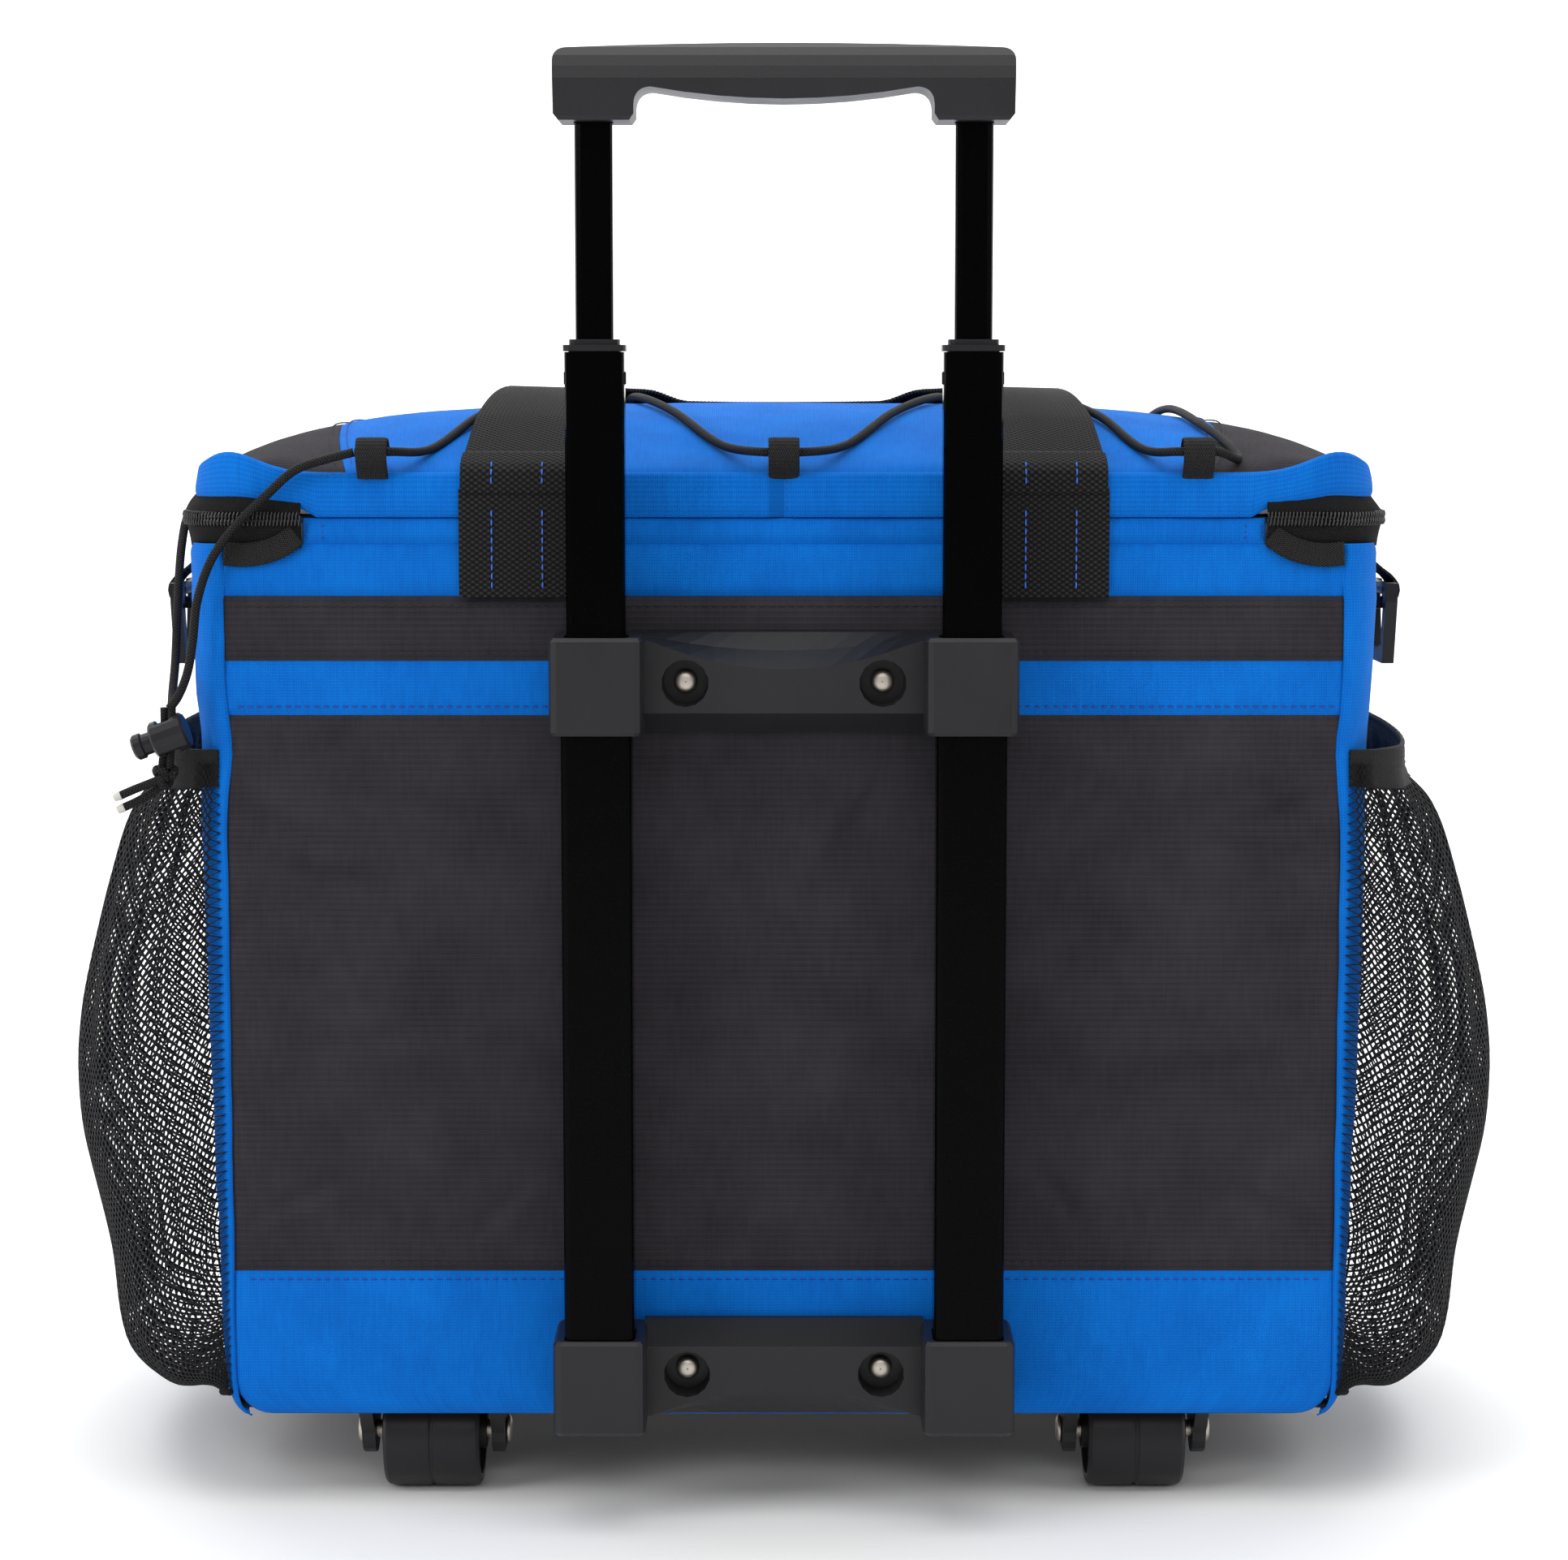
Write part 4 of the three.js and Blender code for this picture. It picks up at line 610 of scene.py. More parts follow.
def hard_zone(x, z):
    """0 where the brackets press the rear panel flat, 1 elsewhere."""
    if abs(x) < 90:
        a = clamp((abs(z - 287) - 17) / 10)
        b = clamp((abs(z - 51) - 17) / 10)
        c = clamp((abs(x) - 79) / 10)
        return max(c, min(a, b))
    return 1.0


# ------------------------------------------------------------ rear and front panels
def panel_piece(name, z0, z1, mat, front=False, puff=0.5, wr=0.7, xlim=None, seed=0.0, nz_=10, thick=1.3, body="bag"):
    us = eased(-1, 1, 170 if nz_ > 90 else 64, 0.04)
    vs = eased(z0, z1, nz_, 4.0)

    def f(u, z):
        xe = (x_edge(z) if xlim is None else xlim)
        x = u * xe
        e = min(z - z0, z1 - z, xe - abs(x))
        roll = 0.95 * math.exp(-(e / 1.7) ** 2)
        m = 1.0 if front else hard_zone(x, z)
        p = puff * m * math.sin(math.pi * clamp((z - z0) / (z1 - z0))) ** 0.6
        w = wr * m * (0.75 * nz(x / 55, z / 17, seed) + 0.4 * nz(x / 21, z / 9, seed + 5) + 0.5 * nz(x / 110, z / 60, seed + 9)) * clamp(e / 5)
        for cx0, cz0, cx1, cz1, dep, wid in (CREASES if name == "rear_main_panel" else ()):
            ax_, az_ = cx1 - cx0, cz1 - cz0
            tt = clamp(((x - cx0) * ax_ + (z - cz0) * az_) / (ax_ * ax_ + az_ * az_))
            dd = math.hypot(x - cx0 - ax_ * tt, z - cz0 - az_ * tt)
            side = ((x - cx0) * az_ - (z - cz0) * ax_) / math.hypot(ax_, az_)
            fade = dep * math.sin(math.pi * (0.08 + 0.84 * tt)) * clamp(e / 4)
            w += fade * (1.5 * math.exp(-(dd / wid) ** 2) - 1.3 * math.exp(-((dd - 1.5 * wid) / wid) ** 2) * clamp(0.5 + side / wid))
        d = 0.75 + roll - p + w
        d = max(-0.28 - 1.5 * clamp((abs(x) - 98) / 14), d)
        return (x, DEPTH - d, z) if front else (x, d, z)

    ob = shell(name, f, us, vs, thick, body, mat, toward=(0, 1, 0) if front else (0, -1, 0))
    return ob, f


CREASES = (
    (-186, 246, -150, 228, 1.3, 3.0), (-180, 228, -128, 214, 1.2, 3.4), (-186, 214, -140, 200, 0.9, 3.0), (-150, 250, -96, 240, 0.9, 3.6),
    (186, 250, 150, 236, 1.0, 3.2), (184, 226, 140, 232, 0.9, 3.4), (120, 262, 88, 236, 0.8, 3.4), (-40, 262, -12, 226, 0.7, 4.0), (38, 262, 16, 224, 0.7, 4.0),
    (-186, 100, -150, 116, 0.9, 3.2), (186, 98, 152, 112, 0.9, 3.2), (-110, 92, -84, 118, 0.7, 3.6), (108, 92, 86, 120, 0.7, 3.6), (-175, 160, -110, 168, 0.7, 5.0), (176, 158, 112, 150, 0.7, 5.0),
)
REAR = []
for nm, a, b, mt, pf, w_, k in (
    ("rear_foot_strip", 33.2, 83.5, BLUE, 0.5, 0.7, 14),
    ("rear_main_panel", 83.5, 275.0, BLACK, 0.3, 1.3, 100),
    ("rear_blue_band", 275.0, 293.4, BLUE, 0.35, 0.35, 8),
    ("rear_black_band", 293.4, 315.2, BLACK, 0.45, 0.5, 8),
    ("rear_top_band", 315.2, 332.9, BLUE, 0.9, 1.0, 8),
):
    REAR.append(panel_piece(nm, a, b, mt, puff=pf, wr=w_, seed=a * 0.37, nz_=k))
flap, flap_f = panel_piece("hinge_flap", 332.6, 341.5, BLUE, puff=0.7, wr=0.25, xlim=161.6, seed=3.1, nz_=5, body=None)
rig.blend(flap, "bag", "lid", P(0, 0, 333.5), P(0, 0, 341.2))
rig.replaces(REAR[0][0], "back_panel")
front_a, _ = panel_piece("front_foot_strip", 33.2, 83.5, BLUE, front=True, seed=41, nz_=14)
front_b, _ = panel_piece("front_main_panel", 83.5, 293.4, BLACK, front=True, wr=1.2, seed=47, nz_=44)
front_c, _ = panel_piece("front_top_band", 293.4, 332.9, BLUE, front=True, wr=0.9, seed=53, nz_=12)
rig.replaces(front_b, "front_panel")

NEG_Y = (0, -1, 0)
for f, z, lo, hi, th in (
    (REAR[0][1], 80.8, -185, 185, THREAD_DARK),
    (REAR[2][1], 278.0, -186, 186, THREAD_DARK),
    (REAR[3][1], 296.2, -186, 186, THREAD_BLACK),
    (REAR[3][1], 312.0, -186, 186, THREAD_BLACK),
    (REAR[1][1], 86.6, -186, 186, THREAD_BLACK),
):
    key = ("stitch_rear_" + th.name, "bag", th)
    pts = [f(x / x_edge(z), z) for x in lin(lo, hi, 60)]
    stitches(key, pts, NEG_Y)

# ------------------------------------------------------------ side gussets
SIDE_T = [0, 0.012, 0.03, 0.055, 0.08, 0.11, 0.135, 0.16] + lin(0.19, 0.81, 26) + [0.84, 0.865, 0.89, 0.92, 0.945, 0.97, 0.988, 1]


def gusset(sx):
    def f(t, z):
        x, y = side_outer(t, z)
        e = min(t, 1 - t) * 320
        ez = min(z - Z0, Z1 - z)
        d = 0.9 * math.exp(-(e / 1.8) ** 2) + 1.1 * math.exp(-(ez / 2.0) ** 2)
        d += 0.65 + 0.75 * (nz(y / 40, z / 26, sx * 7.7) + 0.5 * nz(y / 15, z / 12, sx * 3.3))
        near = min(y, DEPTH - y)
        dent = 4.6 * math.exp(-((z - 263) / 15) ** 2) * math.exp(-(near / 15) ** 2)
        dent += 2.0 * math.exp(-((z - 322) / 6) ** 2) * math.exp(-(near / 12) ** 2)
        corner = 9.0 * (1 - math.sqrt(max(0.0, 1 - (1 - clamp((z - Z0) / 13)) ** 2))) * math.exp(-(near / 12) ** 2)
        d = max(0.0, d) + dent + corner
        w, ry = half_width(z), corner_y(z)
        nx = 1.0 if near >= ry else 0.5 + 0.5 * near / ry
        x = max(x - d * nx, PANEL - 7.0)
        yy = y + (0.6 * math.exp(-(e / 3) ** 2)) * (1 if y < 125 else -1)
        return (sx * x, yy, z)

    return shell("side_gusset_" + ("right" if sx > 0 else "left"), f, SIDE_T, eased(Z0, Z1, 44, 6), 1.2, "bag", BLUE, toward=(sx, 0, 0)), f


gus_r, gus_rf = gusset(1)
gus_l, gus_lf = gusset(-1)
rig.replaces(gus_r, "side_panel_right")
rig.replaces(gus_l, "side_panel_left")


# ------------------------------------------------------------ base
def base_f(x, y):
    e = min(188 - abs(x), y - 3.2, 246.8 - y)
    return (x, y, Z0 + 0.25 + 1.0 * math.exp(-(e / 2.5) ** 2) + 0.35 * (1 + nz(x / 30, y / 24, 2.2)))


bx = sorted(set([-188.2, -186, -160, 160, 186, 188.2] + [q * 123 + k for q in (-1, 1) for k in (-25.4, 0, 25.4)] + lin(-90, 90, 12)))
by = sorted(set([3.4, 6, 10.5, 49.5, 244, 246.6] + lin(20, 40, 2) + lin(60, 235, 12)))
base = shell("base_cloth", base_f, bx, by, 1.3, "bag", BLACK, toward=(0, 0, -1),
             skip=lambda a, b, c, d: 97 < abs((a + b) / 2) < 149 and 10 < (c + d) / 2 < 50)
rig.replaces(base, "base_panel")


# ------------------------------------------------------------ closed outlines
def outline(hx, y0, y1, r, gap=7.0, arc=9):
    """Counter-clockwise from the middle of the rear edge: rows of x, y, normal x, normal y."""
    out = []

    def straight(a, b):
        n = max(1, int(math.dist(a, b) / gap))
        d = ((b[0] - a[0]) / math.dist(a, b), (b[1] - a[1]) / math.dist(a, b))
        for i in range(n):
            out.append((a[0] + (b[0] - a[0]) * i / n, a[1] + (b[1] - a[1]) * i / n, d[1], -d[0]))

    def turn(cx, cy, a0):
        for i in range(arc):
            a = math.radians(a0 + 90 * i / arc)
            out.append((cx + r * math.cos(a), cy + r * math.sin(a), math.cos(a), math.sin(a)))

    straight((0, y0), (hx - r, y0)); turn(hx - r, y0 + r, -90)
    straight((hx, y0 + r), (hx, y1 - r)); turn(hx - r, y1 - r, 0)
    straight((hx - r, y1), (-hx + r, y1)); turn(-hx + r, y1 - r, 90)
    straight((-hx, y1 - r), (-hx, y0 + r)); turn(-hx + r, y0 + r, 180)
    straight((-hx + r, y0), (-1e-3, y0))
    return out


# ------------------------------------------------------------ liner of the tub
tub_line = outline(199.2, 9.0, 243.0, 22, 9.0, 6)
TUB_C = (0.0, 126.0)
tub_prof = [(1.5, 337.5, 1), (1.2, 340.6, 1), (4.2, 341.9, 1), (7.6, 341.4, 1), (9.0, 338, 1)] + [(9.2, z, 1) for z in (320, 295, 270, 240, 210, 180, 150, 120, 90, 70, 60)] + [(10.5, 55.2, 1), (14, 54.0, 1), (14, 53.8, 0.8), (14, 53.8, 0.55), (14, 53.8, 0.3), (14, 53.8, 0.1), (14, 53.8, 0.02)]


def tub_f(i, j):
    x, y, nx, ny = tub_line[i]
    ins, z, k = tub_prof[j]
    ins += 1.0 if 40 < z < 330 and k == 1 and ins < 10 else 0.0
    w = half_width(min(z, 333)) - 203
    wr = 0.7 * (1 + nz((x + 3 * y) / 26, z / 30, 8.8)) if 60 < z < 330 else 0.0
    if z < 54.5:
        wr = 0.0
        z = z + 0.5 * nz(x * k / 30, y * k / 30, 4.4)
    px = x + (w if x > 0 else -w) - nx * (ins + wr)
    py = y - ny * (ins * 0.6 + 0.4 + wr)
    return (TUB_C[0] + (px - TUB_C[0]) * k, TUB_C[1] + (py - TUB_C[1]) * k, z)


tub_g = np.array([[tub_f(i, j) for j in range(len(tub_prof))] for i in range(len(tub_line))])
liner = shell("liner_sheet", None, list(range(len(tub_line))), list(range(len(tub_prof))), 0.35, "bag", LINER, toward=(0, 0, 1), loop_u=True, as_array=tub_g)
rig.replaces(liner, "liner_tub")


# ------------------------------------------------------------ lid
def lip(x, y):
    """How far the band's upper edge stands above the lid's edge line: most at the corners."""
    ax = abs(x)
    yy = min(y, DEPTH - y)
    corner = 7.0 * math.exp(-((ax - 187) / 15) ** 2) * math.exp(-(yy / 26) ** 2)
    side = 1.6 * clamp((ax - 190) / 9)
    return 0.5 + max(corner, side)


def seam_x(sx, y):
    return (141.0 if sx > 0 else 146.0) + 14.0 * math.sin(math.pi * clamp(y / DEPTH)) ** 0.8


def lid_wr(x, y):
    return 0.55 * nz(x / 48, y / 34, 1.5) + 0.3 * nz(x / 18, y / 16, 6.1)


def top_centre(u, y):
    x = (-seam_x(-1, y)) * (1 - u) + seam_x(1, y) * u
    e = min(y - 1.5, 248.5 - y)
    es = min(x + seam_x(-1, y), seam_x(1, y) - x)
    z = dome_z(x, y) - 1.6 * math.exp(-(e / 2.6) ** 2) - 0.25 * math.exp(-(es / 1.8) ** 2) + lid_wr(x, y) * clamp(e / 8)
    return (x, y, z)


lid_y = [1.5, 1.9, 2.6, 3.6, 5, 7, 10, 14] + lin(20, 230, 34) + [236, 240, 243, 245, 246.4, 247.4, 248.1, 248.5]
lid_top = shell("lid_top_centre", top_centre, eased(0, 1, 56, 0.03), lid_y, 1.4, "lid", BLUE, toward=(0, 0, 1))


def patch(sx):
    def f(u, y):
        yy = min(y, DEPTH - y)
        xe = 197.0 if yy >= 22 else 175.0 + math.sqrt(max(0.0, 22.0 ** 2 - (22.0 - yy) ** 2))
        xs = seam_x(sx, y)
        x = xs + (xe - xs) * u
        e = min(xe - x, yy - 1.5, 22.0)
        es = x - xs
        z = dome_z(x, y) - 1.4 * math.exp(-(e / 3.0) ** 2) - 0.25 * math.exp(-(es / 1.8) ** 2) + 0.8 * lid_wr(x, y) * clamp(e / 8)
        z += 2.2 * math.exp(-((x - 172) / 13) ** 2) * clamp(e / 10) * math.exp(-(yy / 60) ** 2)
        return (sx * x, y, z)

    return shell("lid_patch_" + ("right" if sx > 0 else "left"), f, eased(0, 1, 14, 0.08), lid_y, 1.4, "lid", BLACK, toward=(0, 0, 1))


patch(1)
patch(-1)

lid_line = outline(199, 0, 250, 22, 5.0, 12)


def rear_share(x, y):
    """1 everywhere, on the rear hinge run and elsewhere alike."""
    return 1.0 if y > 1 else 1.0


def band_low(x, y):
    if y < 0.5 and abs(x) < 161.5:
        return 341.7
    if y < 12 and abs(x) >= 161.5:
        return 344.4 + 3.4 * clamp((abs(x) - 161.5) / 22)
    return 347.8


band_prof = [0, 0.04, 0.1, 0.2, 0.35, 0.5, 0.65, 0.8, 0.9, 0.96, 1.0, 1.02]


def band_f(i, j):
    x, y, nx, ny = lid_line[i]
    k = band_prof[j]
    zb, zt = band_low(x, y), 356.2 + lip(x, y)
    z = zb + (zt - zb) * min(k, 1.0)
    side = nx * nx
    out = 0.2 + 0.8 * math.sin(math.pi * min(1, k)) + side * 1.4 * (1 - min(1, k)) ** 2
    out -= 0.9 * math.exp(-(k * (zt - zb) / 1.3) ** 2)
    if k > 0.95:
        out -= (k - 0.95) * 22
    seam = math.exp(-(x / 1.1) ** 2) if y < 1 else 0.0
    out -= 0.7 * seam
    out += 0.45 * nz((x + y) / 22, z / 6, 12.0) * (1 - seam)
    out += 0.5 * nz((x - y) / 55, z / 14, 2.0)
    # the last row, tucked in over the top edge, sits 0.5 lower all round
    return (x + nx * out, y + ny * out, z - (0.5 if k > 1 else 0.0))


extra = []
for p in lid_line:
    extra.append(p)
lid_line = extra
band_g = np.array([[band_f(i, j) for j in range(len(band_prof))] for i in range(len(lid_line))])
band = shell("lid_band", None, list(range(len(lid_line))), list(range(len(band_prof))), 1.3, "lid", BLUE, centre=(0, 125, 350), loop_u=True, as_array=band_g)
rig.replaces(lid_top, "lid_cover")
stitches(("stitch_lid_seam", "lid", THREAD_DARK), [(0.9, 0.0, 343), (0.9, -0.2, 349), (0.9, 0.1, 355.5)], NEG_Y, 2.2, 1.4, 0.22)
for sx in (-1, 1):
    for off in (1.4, 6.8):
        stitches(("stitch_flap", "bag", THREAD_DARK), [(sx * (161.6 - off), 0.5, 333.4), (sx * (161.6 - off), 0.3, 340.6)], NEG_Y, 1.9, 1.2, 0.25, 0.3)
    for k, (du, ds) in enumerate(((2.8, 1), (-2.8, 1))):
        pts = []
        for y in lin(8, 242, 40):
            x = seam_x(sx, y) + du
            pts.append((sx * x, y, dome_z(x, y) + 0.1))
        stitches(("stitch_lid_top_" + ("a" if du > 0 else "b"), "lid", THREAD_BLACK if du > 0 else THREAD_DARK), pts, (0, 0, 1), 3.4, 2.4, 0.24, 0.5)

# lid liner: a wrinkled film under the foam, turned up at its edge
ll_line = outline(195.6, 3.4, 246.6, 19, 8.0, 6)
ll_s = [1.0, 1.0, 0.985, 0.94, 0.85, 0.72, 0.58, 0.44, 0.3, 0.15, 0.002]


def ll_f(i, j):
    x, y, nx, ny = ll_line[i]
    s = ll_s[j]
    px, py = x * s, 125 + (y - 125) * s
    base_z = (356 if s > 0.985 else dome_z(px, py)) - 13.2
    if j == 0:
        base_z += 7.5
    w = 0.35 * nz(px / 22, py / 22, 5.5) if j > 2 else 0
    base_z -= 1.5 * clamp((j - 2) / 2)
    return (px, py, base_z + w)


ll_g = np.array([[ll_f(i, j) for j in range(len(ll_s))] for i in range(len(ll_line))])
lid_liner = shell("lid_liner_sheet", None, list(range(len(ll_line))), list(range(len(ll_s))), 0.35, "lid", LINER, toward=(0, 0, -1), loop_u=True, as_array=ll_g)
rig.replaces(lid_liner, "lid_liner")

# ------------------------------------------------------------ zip: tapes and coil
zip_line = [p for p in outline(199, 0, 250, 22, 4.0, 14)]
start = next(i for i, p in enumerate(zip_line) if p[0] > 162 and p[1] < 1)
end = len(zip_line) - next(i for i, p in enumerate(zip_line[::-1]) if p[0] < -162 and p[1] < 1)
zip_line = [(162.0, 0.0, 0.0, -1.0)] + zip_line[start:end] + [(-162.0, 0.0, 0.0, -1.0)]


def zoff(p, side, rear):
    return side * p[2] ** 2 + rear * p[3] ** 2


def tape(name, prof, body):
    def f(i, j):
        p = zip_line[i]
        s, r, z = prof[j]
        o = zoff(p, s, r) + 0.12 * nz(i * 0.9, j * 0.6, 3.0)
        return (p[0] + p[2] * o, p[1] + p[3] * o, z + 0.3 * nz(i * 0.25, 0.2, 9.0))

    g = np.array([[f(i, j) for j in range(len(prof))] for i in range(len(zip_line))])
    return shell(name, None, list(range(len(zip_line))), list(range(len(prof))), 0.7, body, TAPE, centre=(0, 125, 340), as_array=g)


tape("zip_tape_upper", [(0.2, -0.3, 349.6), (1.6, 0.2, 347.6), (3.2, 0.9, 345.6), (4.4, 1.3, 344.0), (4.7, 1.4, 342.6)], "lid")
low_tape = tape("zip_tape_lower", [(4.7, 1.4, 340.0), (4.5, 1.3, 338.6), (4.0, 1.0, 336.4), (3.5, 0.6, 334.0), (3.2, 0.1, 331.6)], "bag")
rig.replaces(low_tape, "zip_tape")

zl = np.array([[p[0], p[1], 0] for p in zip_line], float)
zs = np.concatenate([[0], np.cumsum(np.linalg.norm(np.diff(zl, axis=0), axis=1))])


def coil(name, zc, height, body, phase):
    pitch, sub = 1.2, 7
    turns = int(zs[-1] / pitch)
    n = turns * sub
    line = []
    for k in range(n + 1):
        s = zs[-1] * k / n
        a = 2 * math.pi * k / sub + phase
        x, y = np.interp(s, zs, zl[:, 0]), np.interp(s, zs, zl[:, 1])
        nx, ny = np.interp(s, zs, [p[2] for p in zip_line]), np.interp(s, zs, [p[3] for p in zip_line])
        o = 5.0 * nx * nx + 1.9 * ny * ny + 0.85 * math.cos(a)
        line.append((x + nx * o, y + ny * o, zc + height * math.sin(a)))
    c = (np.array(line) + np.array([0, YS, 0])) * 0.001
    t = np.gradient(c, axis=0)
    t /= np.linalg.norm(t, axis=1, keepdims=True)
    up = np.array([[p[0], p[1], 0.0] for p in c])
    up = c - np.array([0, 0.013, 0.341])
    up[:, 2] = 0.1 * up[:, 2]
    b = np.cross(t, up)
    b /= np.linalg.norm(b, axis=1, keepdims=True)
    nn = np.cross(b, t)
    r = 0.00033
    co = np.stack([c + r * (math.cos(q) * nn + math.sin(q) * b) for q in (0, 1.5708, 3.1416, 4.7124)], 1).reshape(-1, 3)
    k = np.arange(n) * 4
    faces = np.concatenate([np.stack([k + i, k + (i + 1) % 4, k + 4 + (i + 1) % 4, k + 4 + i], 1) for i in range(4)])
    faces = faces.tolist() + [[3, 2, 1, 0], [n * 4, n * 4 + 1, n * 4 + 2, n * 4 + 3]]
    return make(name, co, faces, COIL, body)


coil("zip_coil_upper", 342.3, 1.35, "lid", 0.0)
coil("zip_coil_lower", 340.2, 1.35, "bag", 1.7)


# ------------------------------------------------------------ ribbons and webbing
def ribbon(name, mid, across, normal, width, t, body, mat, rib=1.3, amp=0.22, weave=None, steps=0.33, edge=0.25, n_across=None):
    """A flat strip along mid points (rig mm). across and normal are arrays or single vectors. rib: ridges across the strip."""
    mid = np.array(mid, float)
    s0 = np.concatenate([[0], np.cumsum(np.linalg.norm(np.diff(mid, axis=0), axis=1))])
    n = max(4, int(s0[-1] / steps))
    s = np.linspace(0, s0[-1], n + 1)

    def res(a):
        a = np.array(a, float)
        if a.ndim == 1:
            a = np.broadcast_to(a, mid.shape)
        r = np.stack([np.interp(s, s0, a[:, k]) for k in range(3)], 1)
        return r

    m, ac, no = res(mid), res(across), res(normal)
    ac = ac / np.linalg.norm(ac, axis=1, keepdims=True)
    no = no / np.linalg.norm(no, axis=1, keepdims=True)
    na = n_across or max(4, int(width / (0.675 if weave else 1.5)))
    v = np.linspace(-width / 2, width / 2, na + 1)
    S, V = np.meshgrid(s, v, indexing="ij")
    if weave:
        h = amp * np.sin(2 * math.pi * V / weave[0]) * np.sin(2 * math.pi * S / weave[1])
    else:
        h = amp * np.abs(np.sin(math.pi * S / rib)) ** 0.7 - amp
    h = h - edge * np.exp(-((width / 2 - np.abs(V)) / 0.8) ** 2)
    top = m[:, None] + ac[:, None] * V[:, :, None] + no[:, None] * (t / 2 + h)[:, :, None]
    bot = m[:, None] + ac[:, None] * V[:, :, None] - no[:, None] * (t / 2 + h)[:, :, None]
    nu, nv = S.shape
    co = (np.concatenate([top.reshape(-1, 3), bot.reshape(-1, 3)]) + np.array([0, YS, 0])) * 0.001
    N = nu * nv
    i, j = np.meshgrid(np.arange(nu - 1), np.arange(nv - 1), indexing="ij")
    a = (i * nv + j).ravel(); b = a + nv; c = b + 1; d = a + 1
    faces = np.concatenate([np.stack([a, b, c, d], 1), np.stack([a + N, d + N, c + N, b + N], 1)])
    i = np.arange(nu - 1)
    e0 = i * nv
    e1 = i * nv + nv - 1
    j = np.arange(nv - 1)
    w0 = j
    w1 = (nu - 1) * nv + j
    faces = np.concatenate([faces, np.stack([e0, e0 + N, e0 + nv + N, e0 + nv], 1), np.stack([e1, e1 + nv, e1 + nv + N, e1 + N], 1),
                            np.stack([w0, w0 + 1, w0 + 1 + N, w0 + N], 1), np.stack([w1, w1 + N, w1 + 1 + N, w1 + 1], 1)])
    uv = np.stack([V, S], 2).reshape(-1, 2)
    ob = make(name, co, faces.tolist(), mat, body, np.concatenate([uv, uv]))
    return ob


WEAVE = (2.7, 1.9)
LEG_X = 90.2
for side, sx in (("left", -1), ("right", 1)):
    mid = [(sx * LEG_X, -1.5, 315.0), (sx * LEG_X, -1.55, 330), (sx * LEG_X, -1.5, 342), (sx * LEG_X, -1.4, 351.2)]
    leg = ribbon("strap_end_" + side, mid, (1, 0, 0), (0, -1, 0), 37.6, 1.5, None, WEB, amp=0.2, weave=WEAVE, steps=0.475)
    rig.blend(leg, "bag", "lid", P(0, 0, 338), P(0, 0, 350))
    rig.replaces(leg, "strap_leg_" + side)
    for dx in (-9.3, 7.7):
        stitches(("stitch_leg_" + side, "bag", THREAD_BLUE), [(sx * (LEG_X + dx), -2.55, 316.5), (sx * (LEG_X + dx), -2.5, 345.5)], NEG_Y, 3.0, 2.2, 0.28, 0.15)


def lift(y, x=90.0):
    k = clamp((abs(x) - 46) / 20)
    return 0.7 + 4.0 * clamp((y - 8) / 30) * k * k * (3 - 2 * k)


def lean(y):
    """The straps run inward a little on their way over the lid."""
    return LEG_X - 6.5 * clamp((y - 2) / 105)


def dome_n(x, y):
    a = np.array([1, 0, (dome_z(x + 0.5, y) - dome_z(x - 0.5, y))])
    b = np.array([0, 1, (dome_z(x, y + 0.5) - dome_z(x, y - 0.5))])
    n = np.cross(a, b)
    return n / np.linalg.norm(n)


mid, acr, nor = [], [], []


def leg_point(sx, y, z, n):
    mid.append((sx * LEG_X, y, z)); acr.append((-sx if False else 1.0, 0, 0)); nor.append(n)


def leg_run(sx):
    rows = [(-2.0, 349.9, (0, -1, 0)), (-2.1, 352.5, (0, -1, 0)), (-2.0, 355.0, (0, -1, 0.1)), (-1.4, 357.2, (0, -0.9, 0.5)), (0.2, 359.2, (0, -0.6, 0.8)), (3.0, 360.8, (0, -0.35, 0.95)), (7.0, 362.6, (0, -0.25, 1.0))]
    for y in lin(12, 138, 32):
        z = dome_z(lean(y), y) + lift(y) + 1.0
        rows.append((y, z, tuple(dome_n(lean(y), y))))
    return rows


for y, z, n in leg_run(-1):
    mid.append((-lean(y), y, z)); acr.append((-1, 0, 0)); nor.append(n)
for k in range(1, 48):
    a = math.pi - math.pi * k / 48
    x, y = lean(140) * math.cos(a), 140 + 48 * math.sin(a)
    z = dome_z(x, y) + lift(y, x) + 1.0
    # the strap lies along an ellipse, and its width turns with the angle a round it, as on a circle
    c = (math.cos(a) / LEG_X, math.sin(a) / 48)
    l = math.hypot(*c)
    q = (1 - math.sin(a)) * 0.0
    mid.append((x, y, z)); acr.append((math.cos(a), math.sin(a), 0)); nor.append(tuple(dome_n(x, y)))
for y, z, n in leg_run(1)[::-1]:
    mid.append((lean(y), y, z)); acr.append((1, 0, 0)); nor.append(n)
acr = np.array(acr, float)
nor = np.array(nor, float)
acr = acr - nor * np.sum(acr * nor, axis=1, keepdims=True) / np.sum(nor * nor, axis=1, keepdims=True)
hb = ribbon("handle_strap_rear", mid, acr, nor, 36.4, 1.6, None, WEB, amp=0.2, weave=WEAVE, steps=0.475)
